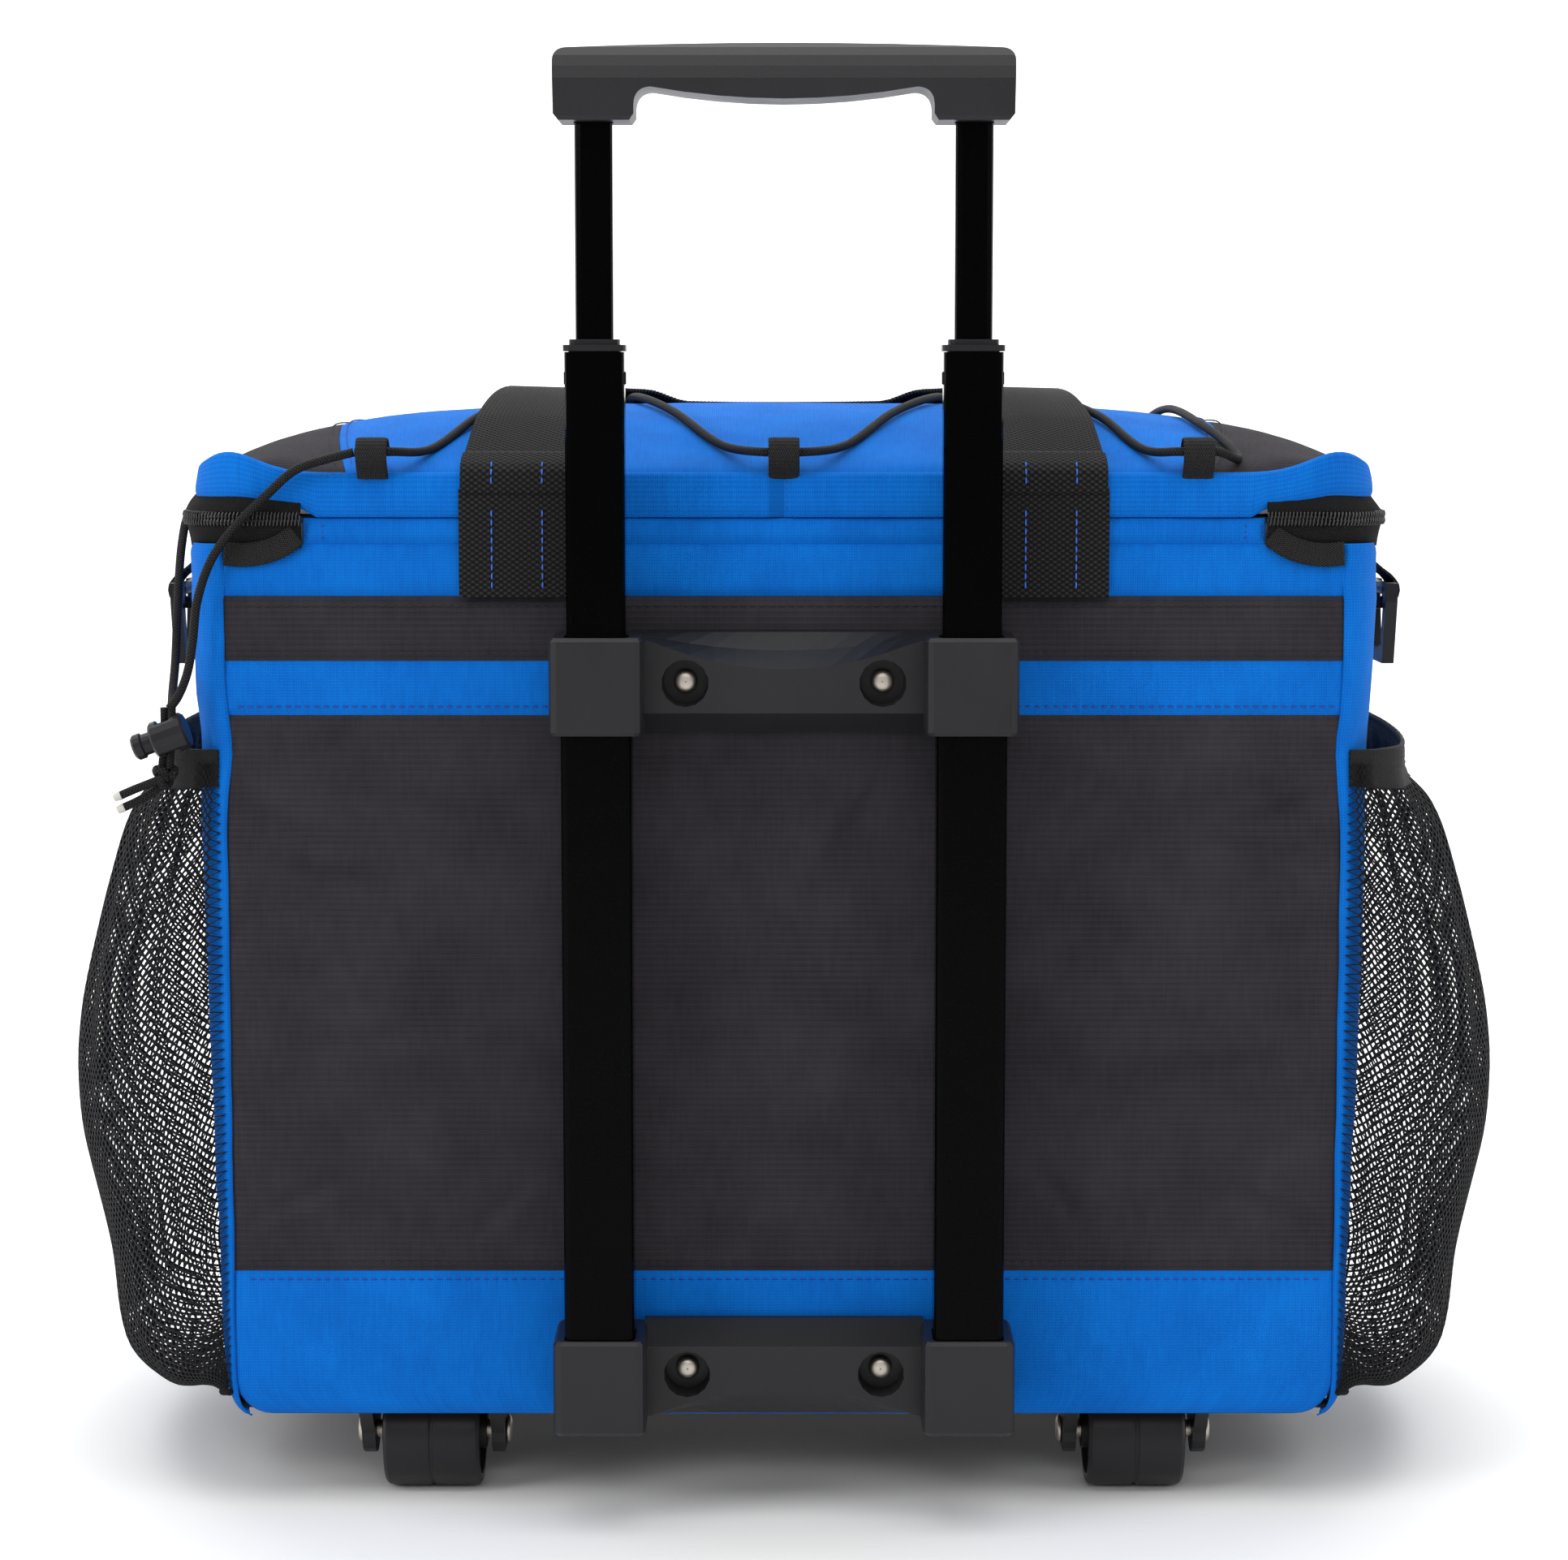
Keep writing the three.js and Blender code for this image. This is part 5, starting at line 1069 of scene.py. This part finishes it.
# the strap bends where it is sewn to the lid
HANDLE_BEND = ("lid", "rear_handle", P(0, -2.2, 350.2), P(0, -0.6, 358.5))
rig.blend(hb, *HANDLE_BEND)
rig.replaces(hb, "handle_back")
for sx in (-1, 1):
    for dx in (-9.3, 7.7):
        pts = [(sx * (LEG_X + dx), -2.95, 351.5), (sx * (LEG_X + dx), -2.9, 354.5), (sx * (LEG_X + dx), -2.3, 357.6), (sx * (LEG_X + dx), 0.0, 360.4)]
        stitches(("stitch_handle", HANDLE_BEND, THREAD_BLUE), pts, (0, -0.9, 0.3), 3.0, 2.2, 0.28, 0.1)

fm, fa = [], []
for z in (311.5, 300, 285, 270, 255, 240, 236):
    fm.append((-LEG_X, 251.6, z)); fa.append((-1, 0, 0))
for k in range(1, 36):
    a = math.pi + math.pi * k / 36
    fm.append((LEG_X * math.cos(a), 251.6 + 0.3 * math.sin(k / 36 * math.pi), 236 + 56 * math.sin(a))); fa.append((math.cos(a), 0, math.sin(a)))
for z in (236, 240, 255, 270, 285, 300, 311.5):
    fm.append((LEG_X, 251.6, z)); fa.append((1, 0, 0))
hf = ribbon("handle_strap_front", fm, fa, (0, 1, 0), 36.0, 1.8, "front_handle", WEB, amp=0.18, weave=WEAVE, steps=0.475)
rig.replaces(hf, "handle_front")

# D-ring tabs: webbing folded round each ring's bar
for side, sx in (("left", -1), ("right", 1)):
    path = smooth_line([(204.6, 70, 307.2), (208.5, 70, 307.4), (213.6, 70, 308.6), (216.6, 70, 311.6), (217.0, 70, 315.6), (214.6, 70, 319.2), (210.8, 70, 322.2), (206.9, 70, 326), (205.3, 70, 331.4)], 0.6)
    tng = np.gradient(path, axis=0)
    nrm = np.cross(tng, np.array([0, 1, 0]))
    if nrm[len(nrm) // 2][0] < 0:
        nrm = -nrm
    path = path - nrm / np.linalg.norm(nrm, axis=1, keepdims=True) * 0.75
    if sx < 0:
        path = path * np.array([-1, 1, 1]); nrm = nrm * np.array([-1, 1, 1])
    tab = ribbon("ring_strap_" + side, path, (0, 1, 0), nrm, 24, 1.5, "bag", WEB, amp=0.18, weave=WEAVE, steps=0.475)
    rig.replaces(tab, "ring_tab_" + side)

# cord loops on the lid's rear edge, and the long strip on its front edge
for nm, x0, dy in (("left", -137.5, -1.9), ("centre", 0.0, 0.0), ("right", 138.5, 0.0)):
    pts = [(x0, dy + a, b) for a, b in ((0.3, 354.6), (-1.2, 356.6), (-3.6, 358.8), (-5.2, 361.6), (-5.1, 364.8), (-3.2, 367.3), (-0.4, 368.0), (2.8, 366.9), (5.6, 364.8), (8.8, 362.6))]
    path = smooth_line(pts, 0.3)
    tng = np.gradient(path, axis=0)
    nrm = np.cross(np.array([1, 0, 0]), tng)
    if nrm[len(nrm) // 3][1] > 0:
        nrm = -nrm
    ob = ribbon("cord_loop_" + nm, path, (1, 0, 0), nrm, 10.4, 1.1, "lid", GROS, rib=1.3, amp=0.3, steps=0.2, n_across=10)
    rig.replaces(ob, "lid_loop_" + nm)
path = smooth_line([(0, 243.0, 360.4), (0, 246.6, 359.2), (0, 249.9, 359.0), (0, 250.2, 362.5), (0, 249.4, 366.8), (0, 246.2, 369.6), (0, 241.8, 369.2)], 0.5)
strip_u = path
tng = np.gradient(path, axis=0)
nrm = np.cross(np.array([1, 0, 0]), tng)
if nrm[-3][2] < 0:
    nrm = -nrm
ob = ribbon("cord_strip_front", path, (1, 0, 0), nrm, 300, 1.0, "lid", GROS, rib=1.3, amp=0.2, steps=0.3, n_across=90)
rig.replaces(ob, "lid_loop_strip")

# zip end tabs: ribbed tape curving up to the end of the hinge flap
for side, sx in (("left", -1), ("right", 1)):
    path = smooth_line([(sx * 188, -0.9, 329.6), (sx * 181, -1.3, 329.2), (sx * 174, -1.5, 330.2), (sx * 168, -1.5, 332.6), (sx * 163.4, -1.2, 336.0)], 0.4)
    tng = np.gradient(path, axis=0)
    ac = np.cross(np.array([0, -1, 0]), tng)
    ribbon("zip_end_tab_" + side, path, ac, (0, -1, 0), 8.0, 1.0, "bag", GROS, rib=1.25, amp=0.3, steps=0.2, n_across=8)


# ------------------------------------------------------------ netting pockets
prof = np.array([[0.4, 38], [14, 28], [29, 22.5], [46, 34], [52, 72], [60, 122], [58, 160], [46, 203], [33, 236], [20, 250], [18, 262.5]], float)
_pf = smooth_line([(a, 0, b) for a, b in prof], 0.5)
_ps = np.linspace(0, 1, len(_pf))
_node = smooth_line([(a, 0, b) for a, b in prof], 0.5)


def swell(u):
    return math.sin(math.pi * clamp(u)) ** 0.38


def pocket_point(u, k, t=0.0):
    """u runs rear to front, k runs from the lower seam to the top edge."""
    a = np.interp(k, _ps, _pf[:, 0])
    b = np.interp(k, _ps, _pf[:, 2])
    ln = 40 + (262.5 - 40) * k
    s = swell(u)
    y = 0.08 + (DEPTH - 0.16) * u
    z = ln + s * (b - ln)
    fold = 0.0
    top = clamp((k - 0.35) / 0.5) * clamp((1.0 - k) / 0.06)
    low = clamp((0.42 - k) / 0.3) * clamp(k / 0.05)
    ph = 2 * math.pi * (u * 9.0 + 0.5 * (1 - k) * (1 if u < 0.5 else -1))
    fold += 1.7 * math.sin(ph) * top * clamp(s * 1.4 - 0.3)
    fold += 0.9 * math.sin(2 * math.pi * u * 13 + 1.0) * low * clamp(s * 1.4 - 0.3)
    fold += 1.2 * nz(u * 4.0, k * 5.0, 7.0) * clamp(s * 1.5 - 0.3)
    x = side_x(y, max(z, 33.2)) + 0.35 + t + s * max(0.0, a + min(fold, 1.2) * (1 if k < 0.98 else 0.2))
    return (x, y, z)


def netting(sx):
    lu = 300.0
    lv = float(np.linalg.norm(np.diff(_pf[:, [0, 2]], axis=0), axis=1).sum())
    cell = 4.3
    nu = int(lu / (cell / 2))
    nv = int(lv / (cell / 2))
    nu -= nu % 2
    nv -= nv % 2
    # even arc steps at mid height round the pocket
    uu = np.linspace(0, 1, 400)
    c = np.array([pocket_point(u, 0.5) for u in uu])
    s = np.concatenate([[0], np.cumsum(np.linalg.norm(np.diff(c, axis=0), axis=1))])
    s /= s[-1]
    us = np.interp(np.linspace(0, 1, nu + 1), s, uu)
    us[0], us[-1] = 0.0, 1.0
    ks = np.linspace(0, 0.985, nv + 1)
    g = np.array([[pocket_point(u, k) for k in ks] for u in us])
    n = grid_normals(g)
    if n[nu // 2, nv // 2, 0] < 0:
        n = -n
    if sx < 0:
        g = g * np.array([-1, 1, 1]); n = n * np.array([-1, 1, 1])
    nid = np.arange((nu + 1) * (nv + 1)).reshape(nu + 1, nv + 1)
    cells = []
    for i in range(1, nu, 1):
        for j in range(0, nv - 1):
            if (i + j) % 2 == 1:
                cells.append((nid[i, j], nid[i + 1, j + 1], nid[i, j + 2], nid[i - 1, j + 1]))
    cells = np.array(cells)
    V = g.reshape(-1, 3)
    Nn = n.reshape(-1, 3)
    cen = V[cells].mean(1)
    rng = 0.745
    inner = cen[:, None] + (V[cells] - cen[:, None]) * rng
    inn = Nn[cells]
    t = 0.5
    keep, inv = np.unique(cells, return_inverse=True)
    cells = inv.reshape(cells.shape)
    OV, ON = V[keep], Nn[keep]
    n0, n1 = len(OV), len(cells) * 4
    top = np.concatenate([OV, inner.reshape(-1, 3)])
    nn = np.concatenate([ON, inn.reshape(-1, 3)])
    co = np.concatenate([top + nn * t / 2, top - nn * t / 2])
    co = (co + np.array([0, YS, 0])) * 0.001
    T = n0 + n1
    ci = np.arange(len(cells))
    faces = []
    for q in range(4):
        r = (q + 1) % 4
        A, B = cells[:, q], cells[:, r]
        a, b = n0 + ci * 4 + q, n0 + ci * 4 + r
        faces.append(np.stack([A, B, b, a], 1))
        faces.append(np.stack([A + T, a + T, b + T, B + T], 1))
        faces.append(np.stack([a, b, b + T, a + T], 1))
    faces = np.concatenate(faces)
    if sx < 0:
        faces = faces[:, ::-1]
    # close the sheet's outer rim
    edges = {}
    for q in range(4):
        r = (q + 1) % 4
        for A, B in zip(cells[:, q], cells[:, r]):
            edges[(int(A), int(B))] = edges.get((int(A), int(B)), 0) + 1
    rim = [(A, B) for (A, B) in edges if (B, A) not in edges]
    rimf = [(B, A, A + T, B + T) for A, B in rim]
    if sx < 0:
        rimf = [f[::-1] for f in rimf]
    return make("pocket_net_" + ("right" if sx > 0 else "left"), co, faces.tolist() + rimf, NET, "bag")


for side, sx in (("left", -1), ("right", 1)):
    net = netting(sx)
    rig.replaces(net, "mesh_pocket_" + side)
    # elastic band along the mouth: lengthwise ribs and small gathers
    ks = [0.948 + 0.055 * i / 16 for i in range(17)]

    def bf(u, k, sx=sx):
        x, y, z = pocket_point(u, min(k, 1.0), 0.7)
        z += (k - 1.0) * 220 if k > 1 else 0
        r = 0.22 * math.cos((k - 0.948) / 0.055 * 2 * math.pi * 6) + 0.35 * nz(u * 60, 0.0, 3.0)
        return (sx * (x + r), y, z)

    shell("pocket_elastic_" + side, bf, lin(0, 1, 150), ks, 1.5, "bag", GROS, toward=(sx, 0, 0))
    # bound lower edge of the net, sewn into the side
    hem = [pocket_point(u, 0.006, 0.3) for u in lin(0.0, 1.0, 60)]
    tube_mesh("pocket_hem_" + side, [(sx * x, y, z) for x, y, z in hem], 1.1, TAPE, "bag", 8, 2.5)


# ------------------------------------------------------------ bungee
def over(x, y, h=2.4):
    return (x, y, dome_z(x, y) + h)


lacing = [
    (-143.4, -2.6, 363.5), (-137, -2.6, 363.5), (-131.5, -2.5, 363.7), over(-121, 16), over(-107, 60), over(-95, 105), over(-86, 160), over(-80, 215), (-78, 237, 365.4), (-74, 244.4, 366.7), (-70, 237, 365.4), over(-67, 215), over(-59, 160), over(-51, 105), over(-38, 60), over(-20, 18),
    (-7, -0.7, 363.6), (0, -0.7, 363.6), (7, -0.7, 363.6), over(20, 18), over(38, 60), over(53, 105), over(62, 160), over(69, 215), (72, 237, 365.4), (76, 244.4, 366.7), (80, 237, 365.4), over(83, 215), over(92, 160), over(100, 105), over(111, 60), over(123, 16), (132, -0.7, 363.7), (138.5, -0.7, 363.7), (145, -0.6, 363.7),
    over(153, 9), over(152, 26), over(146, 60), over(142, 125), over(140, 200), (138, 234, 363.6), (130, 245.2, 363.1), (100, 245.2, 363.0), (50, 245.2, 363.0), (0, 245.2, 363.0), (-50, 245.2, 363.0), (-100, 245.2, 363.0), (-138, 245.2, 363.0),
    (-150, 245.8, 362.8), (-156.5, 248.6, 361.4), (-162, 252.0, 358.4), (-169, 252.8, 355), (-178, 252.9, 352.2), (-188.5, 250, 350.6), (-196.6, 243.3, 349.9), (-201.4, 233.5, 349.8), (-202.2, 222, 349.8), (-202.2, 190, 349.8), (-202.3, 125, 349.8), (-202.2, 64, 349.8),
]
side_run = [(-202.2, 64, 349.8), (-203.2, 57, 348.8), (-205.8, 50, 345.4), (-207.9, 45, 339.4), (-208.8, 40, 331), (-208.8, 34, 322), (-208.6, 27, 308), (-208.2, 19, 292), (-207.6, 9, 282.4), (-206.6, 1, 278.4)]
drop = [(-143.75, -2.6, 363.5), (-152, -3.6, 361.4), (-163, -4.6, 357.6), (-172.7, -4.6, 349.3), (-183.7, -4.8, 338.5), (-191.5, -5, 327.7), (-196.4, -5, 314.1), (-198.2, -5, 300.5), (-200.2, -5.2, 289.6), (-203.6, -5.6, 281.4), (-206.2, -6.6, 277.9)]
lace, _ = tube_mesh("bungee_over_lid", lacing, 1.5, CORD, "lid", 12, 1.2)
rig.replaces(lace, "bungee_lacing")
run, run_path = tube_mesh("bungee_side_run", side_run, 1.5, CORD, None, 12, 1.0)
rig.blend(run, "bag", "lid", P(-206.6, 1, 290), P(-202, 60, 348))
hang, hang_path = tube_mesh("bungee_hanging_run", drop, 1.5, CORD, None, 12, 1.0)
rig.blend(hang, "bag", "lid", P(-204, -6, 286), P(-150, -3, 360))
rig.replaces(hang, "bungee_drop")

# knot: a trefoil drawn tight, and the two cut ends with clear tips
kc = np.array([-208.0, -6.0, 255.4])
tref = []
for i in range(25):
    a = 2 * math.pi * (i / 24) * 0.97 + 0.4
    tref.append(kc + 1.35 * np.array([math.sin(a) + 1.6 * math.sin(2 * a), -math.sin(3 * a) * 1.0, math.cos(a) - 1.6 * math.cos(2 * a)]))
knot, _ = tube_mesh("bungee_knot_tied", tref, 1.45, CORD, "bag", 12, 0.5)
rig.replaces(knot, "bungee_knot")
ends = []
for k, pts in enumerate(([(-208.6, -6.4, 254.6), (-213, -6.4, 252.8), (-218.6, -6.8, 250.6), (-223.2, -7.0, 248.6)], [(-208.4, -4.2, 253.0), (-212.6, -4.6, 249.6), (-217.6, -5.2, 246.6), (-222.4, -5.6, 244.4)])):
    o, _ = tube_mesh("bungee_end_%d" % k, pts, 1.45, CORD, "bag", 12, 0.7)
    p, q = np.array(pts[-2], float), np.array(pts[-1], float)
    d = (q - p) / np.linalg.norm(q - p)
    o2, _ = tube_mesh("bungee_tip_%d" % k, [q - d * 0.4, q + d * 0.8, q + d * 2.2], 1.55, TIP, "bag", 12, 0.3, taper=lambda t: 1.0 - 0.25 * t * t)
    ends += [o, o2]
for k, (dx, dy) in enumerate(((-1.7, 0.5), (1.6, -0.4))):
    o, _ = tube_mesh("bungee_through_lock_%d" % k, [(-206.6 + dx * 0.8, -6.2 + dy, 278.2), (-206.9 + dx * 0.75, -5.7 + dy, 268.6), (-207.8 + dx * 0.8, -5.9 + dy, 257.6)], 1.4, CORD, "bag", 10, 0.8)
    ends.append(o)

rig.cord(hang, hang_path[0], round(length_of(hang_path), 5), 0.003, "knot", "limp", "hanging", path=hang_path,
        with_pieces=[knot, bpy.data.objects["cord_lock_barrel"], bpy.data.objects["cord_lock_button"]] + ends)
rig.cord(run, run_path[0], round(length_of(run_path), 5), 0.003, "object", "limp", "hanging", path=run_path)


# ------------------------------------------------------------ turned hard parts
def lathe(name, profile, at, axis, mat, body, seg=64, node=None):
    """profile: closed rows of (radius, height along the axis), mm. at: rig mm."""
    co, uv = [], []
    n = len(profile)
    for k in range(seg):
        a = 2 * math.pi * k / seg
        for r, h in profile:
            if axis == "x":
                p = (at[0] + h, at[1] + r * math.cos(a), at[2] + r * math.sin(a))
            else:
                p = (at[0] + r * math.cos(a), at[1] + h, at[2] + r * math.sin(a))
            co.append(P(*p))
            uv.append((r + h, a * 10))
    faces = []
    for k in range(seg):
        k2 = (k + 1) % seg
        for i in range(n):
            j = (i + 1) % n
            faces.append((k * n + i, k * n + j, k2 * n + j, k2 * n + i))
    ob = make(name, co, faces, mat, None, uv)
    import bmesh
    bm = bmesh.new()
    bm.from_mesh(ob.data)
    bmesh.ops.remove_doubles(bm, verts=bm.verts, dist=1e-7)
    bmesh.ops.recalc_face_normals(bm, faces=bm.faces)
    bm.to_mesh(ob.data)
    bm.free()
    bevel(ob, 0.0004, 3)
    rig.ride(ob, body)
    if node:
        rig.replaces(ob, node)
    return ob


def bevel(ob, width, seg=2, angle=33):
    b = ob.modifiers.new("bevel", "BEVEL")
    b.width = width
    b.segments = seg
    b.limit_method = "ANGLE"
    b.angle_limit = math.radians(angle)
    b.harden_normals = True
    b.use_clamp_overlap = True


for side, sx in (("left", -1), ("right", 1)):
    h, R = 16.8, 19.7
    profile = [(3.3, -h - 1.5), (6.9, -h - 1.5), (7.0, -h + 5), (15.2, -h + 5), (16.2, -h), (R - 1.5, -h), (R - 0.3, -h + 1.2), (R, -h + 3), (R, -0.9), (R - 0.55, -0.35), (R - 0.55, 0.35), (R, 0.9), (R, h - 3), (R - 0.3, h - 1.2), (R - 1.5, h), (16.2, h), (15.2, h - 5), (7.0, h - 5), (6.9, h + 1.5), (3.3, h + 1.5)]
    lathe("wheel_turned_" + side, profile, (sx * 123, 30, 19.7), "x", TYRE, "wheel_" + side, 96, "wheel_" + side)
    # five spokes in each recessed side show that the wheel turns
    co, faces = [], []
    for f in (-1, 1):
        for k in range(5):
            a = 2 * math.pi * k / 5 + 0.3
            u, w = (math.cos(a), math.sin(a)), (-math.sin(a), math.cos(a))
            b = len(co)
            for hh in (h - 5.2, h - 2.0):
                for r, s in ((6.6, -1.3), (6.6, 1.3), (15.6, 0.9), (15.6, -0.9)):
                    co.append(P(sx * 123 + f * hh, 30 + u[0] * r + w[0] * s, 19.7 + u[1] * r + w[1] * s))
            faces += [(b, b + 1, b + 2, b + 3), (b + 4, b + 7, b + 6, b + 5)] + [(b + i, b + 4 + i, b + 4 + (i + 1) % 4, b + (i + 1) % 4) for i in range(4)]
    sp = make("wheel_spokes_" + side, co, faces, TYRE, None, smooth=False)
    bevel(sp, 0.0003, 2)
    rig.ride(sp, "wheel_" + side)
    axle = [(0.01, -27), (3.2, -27), (4.3, -26.5), (4.6, -26.0), (4.6, -25.3), (3.0, -25.2), (3.0, 25.2), (4.6, 25.3), (4.6, 26.0), (4.3, 26.5), (3.2, 27), (0.01, 27)]
    lathe("axle_turned_" + side, axle, (sx * 123, 30, 19.7), "x", STEEL, "bag", 40, "axle_" + side)
for nm, x, z in (("upper_left", -33, 287), ("upper_right", 33, 287), ("lower_left", -33, 51.3), ("lower_right", 33, 51.3)):
    prof_r = [(0.01, -7.5), (1.6, -7.45), (2.8, -7.2), (3.6, -6.6), (4.0, -5.6), (4.0, -4.35), (2.4, -4.3), (2.4, 5.3), (3.9, 5.3), (3.9, 6.4), (0.01, 6.5)]
    lathe("rivet_turned_" + nm, prof_r, (x, 0, z), "y", STEEL, "bag", 36, "rivet_" + nm)

# ------------------------------------------------------------ the CAD's own hard pieces
looks = {
    PLASTIC: "upper_bracket lower_bracket handle_grip wheel_fork_left wheel_fork_right front_stand",
    PLASTIC_BLACK: "tube_cap_left tube_cap_right slide_bush_left slide_bush_right side_ring_left side_ring_right cord_lock_barrel cord_lock_button",
    TUBE: "outer_tube_left outer_tube_right middle_tube_left middle_tube_right inner_tube_left inner_tube_right",
    ZMETAL: "zip_slider_left zip_slider_right zip_pull_left zip_pull_right",
    FOAM: "insulation_tub lid_foam",
    BOARD: "back_board base_board",
}
widths = {"upper_bracket": 0.0009, "lower_bracket": 0.0009, "handle_grip": 0.0014, "front_stand": 0.0008, "wheel_fork_left": 0.0006, "wheel_fork_right": 0.0006}
for m, names in looks.items():
    for n in names.split():
        ob = bpy.data.objects[n]
        if ob.data.materials:
            for i in range(len(ob.data.materials)):
                ob.data.materials[i] = m
        else:
            ob.data.materials.append(m)
        ob.data.polygons.foreach_set("use_smooth", [True] * len(ob.data.polygons))
        bevel(ob, widths.get(n, 0.00035), 3 if n in widths else 2)

flush_stitches()

# ------------------------------------------------------------ studio
co, faces = [], []
rows = [(-15.0, 0.0)] + [(3.0, 0.0)] + [(3.0 + 1.5 * math.sin(a), 1.5 - 1.5 * math.cos(a)) for a in [math.pi / 2 * i / 10 for i in range(1, 11)]] + [(4.5, 5.0)]
for y, z in rows:
    co += [(-15, y, z), (15, y, z)]
for i in range(len(rows) - 1):
    faces.append((2 * i, 2 * i + 1, 2 * i + 3, 2 * i + 2))
fl = Mat("floor_paint", 0.6)
nn = fl.noise(fl.obj(), 3.0, 2)
fl.mix(nn, (0.90, 0.90, 0.90), (0.93, 0.93, 0.93))
floor = make("floor", co, faces, fl.m)
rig.stage(floor)

world = bpy.data.worlds.new("studio")
scene.world = world
world.use_nodes = True
world.node_tree.nodes["Background"].inputs[0].default_value = (1, 1, 1, 1)
world.node_tree.nodes["Background"].inputs[1].default_value = 0.34


def area(name, loc, target, size, energy):
    d = bpy.data.lights.new(name, "AREA")
    d.shape = "RECTANGLE"
    d.size, d.size_y = size
    d.energy = energy
    o = bpy.data.objects.new(name, d)
    scene.collection.objects.link(o)
    o.location = loc
    o.rotation_euler = (Vector(target) - Vector(loc)).to_track_quat("-Z", "Y").to_euler()
    return o


area("top", (0, -0.7, 2.7), (0, 0.1, 0.1), (3.2, 2.6), 52)
area("key", (-2.1, -1.7, 1.5), (0, 0, 0.25), (1.0, 1.8), 27)
area("fill", (2.2, -1.5, 1.3), (0, 0, 0.25), (0.9, 1.8), 8)
area("front", (0.0, -3.6, 2.2), (0, 0, 0.25), (2.0, 0.8), 22)
area("rim_left", (-2.6, 0.5, 0.7), (0, 0, 0.3), (0.5, 2.0), 16)
area("rim_right", (2.6, 0.5, 0.7), (0, 0, 0.3), (0.5, 2.0), 16)
area("back_wall", (0, 1.5, 3.4), (0, 3.8, 0.8), (5.0, 1.2), 190)
scene.view_settings.view_transform = "Standard"

with open("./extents.json", "w") as fh:
    json.dump({"cad": SIZE_CAD, "visual": [[float(c) for c in v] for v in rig.bounds()]}, fh)
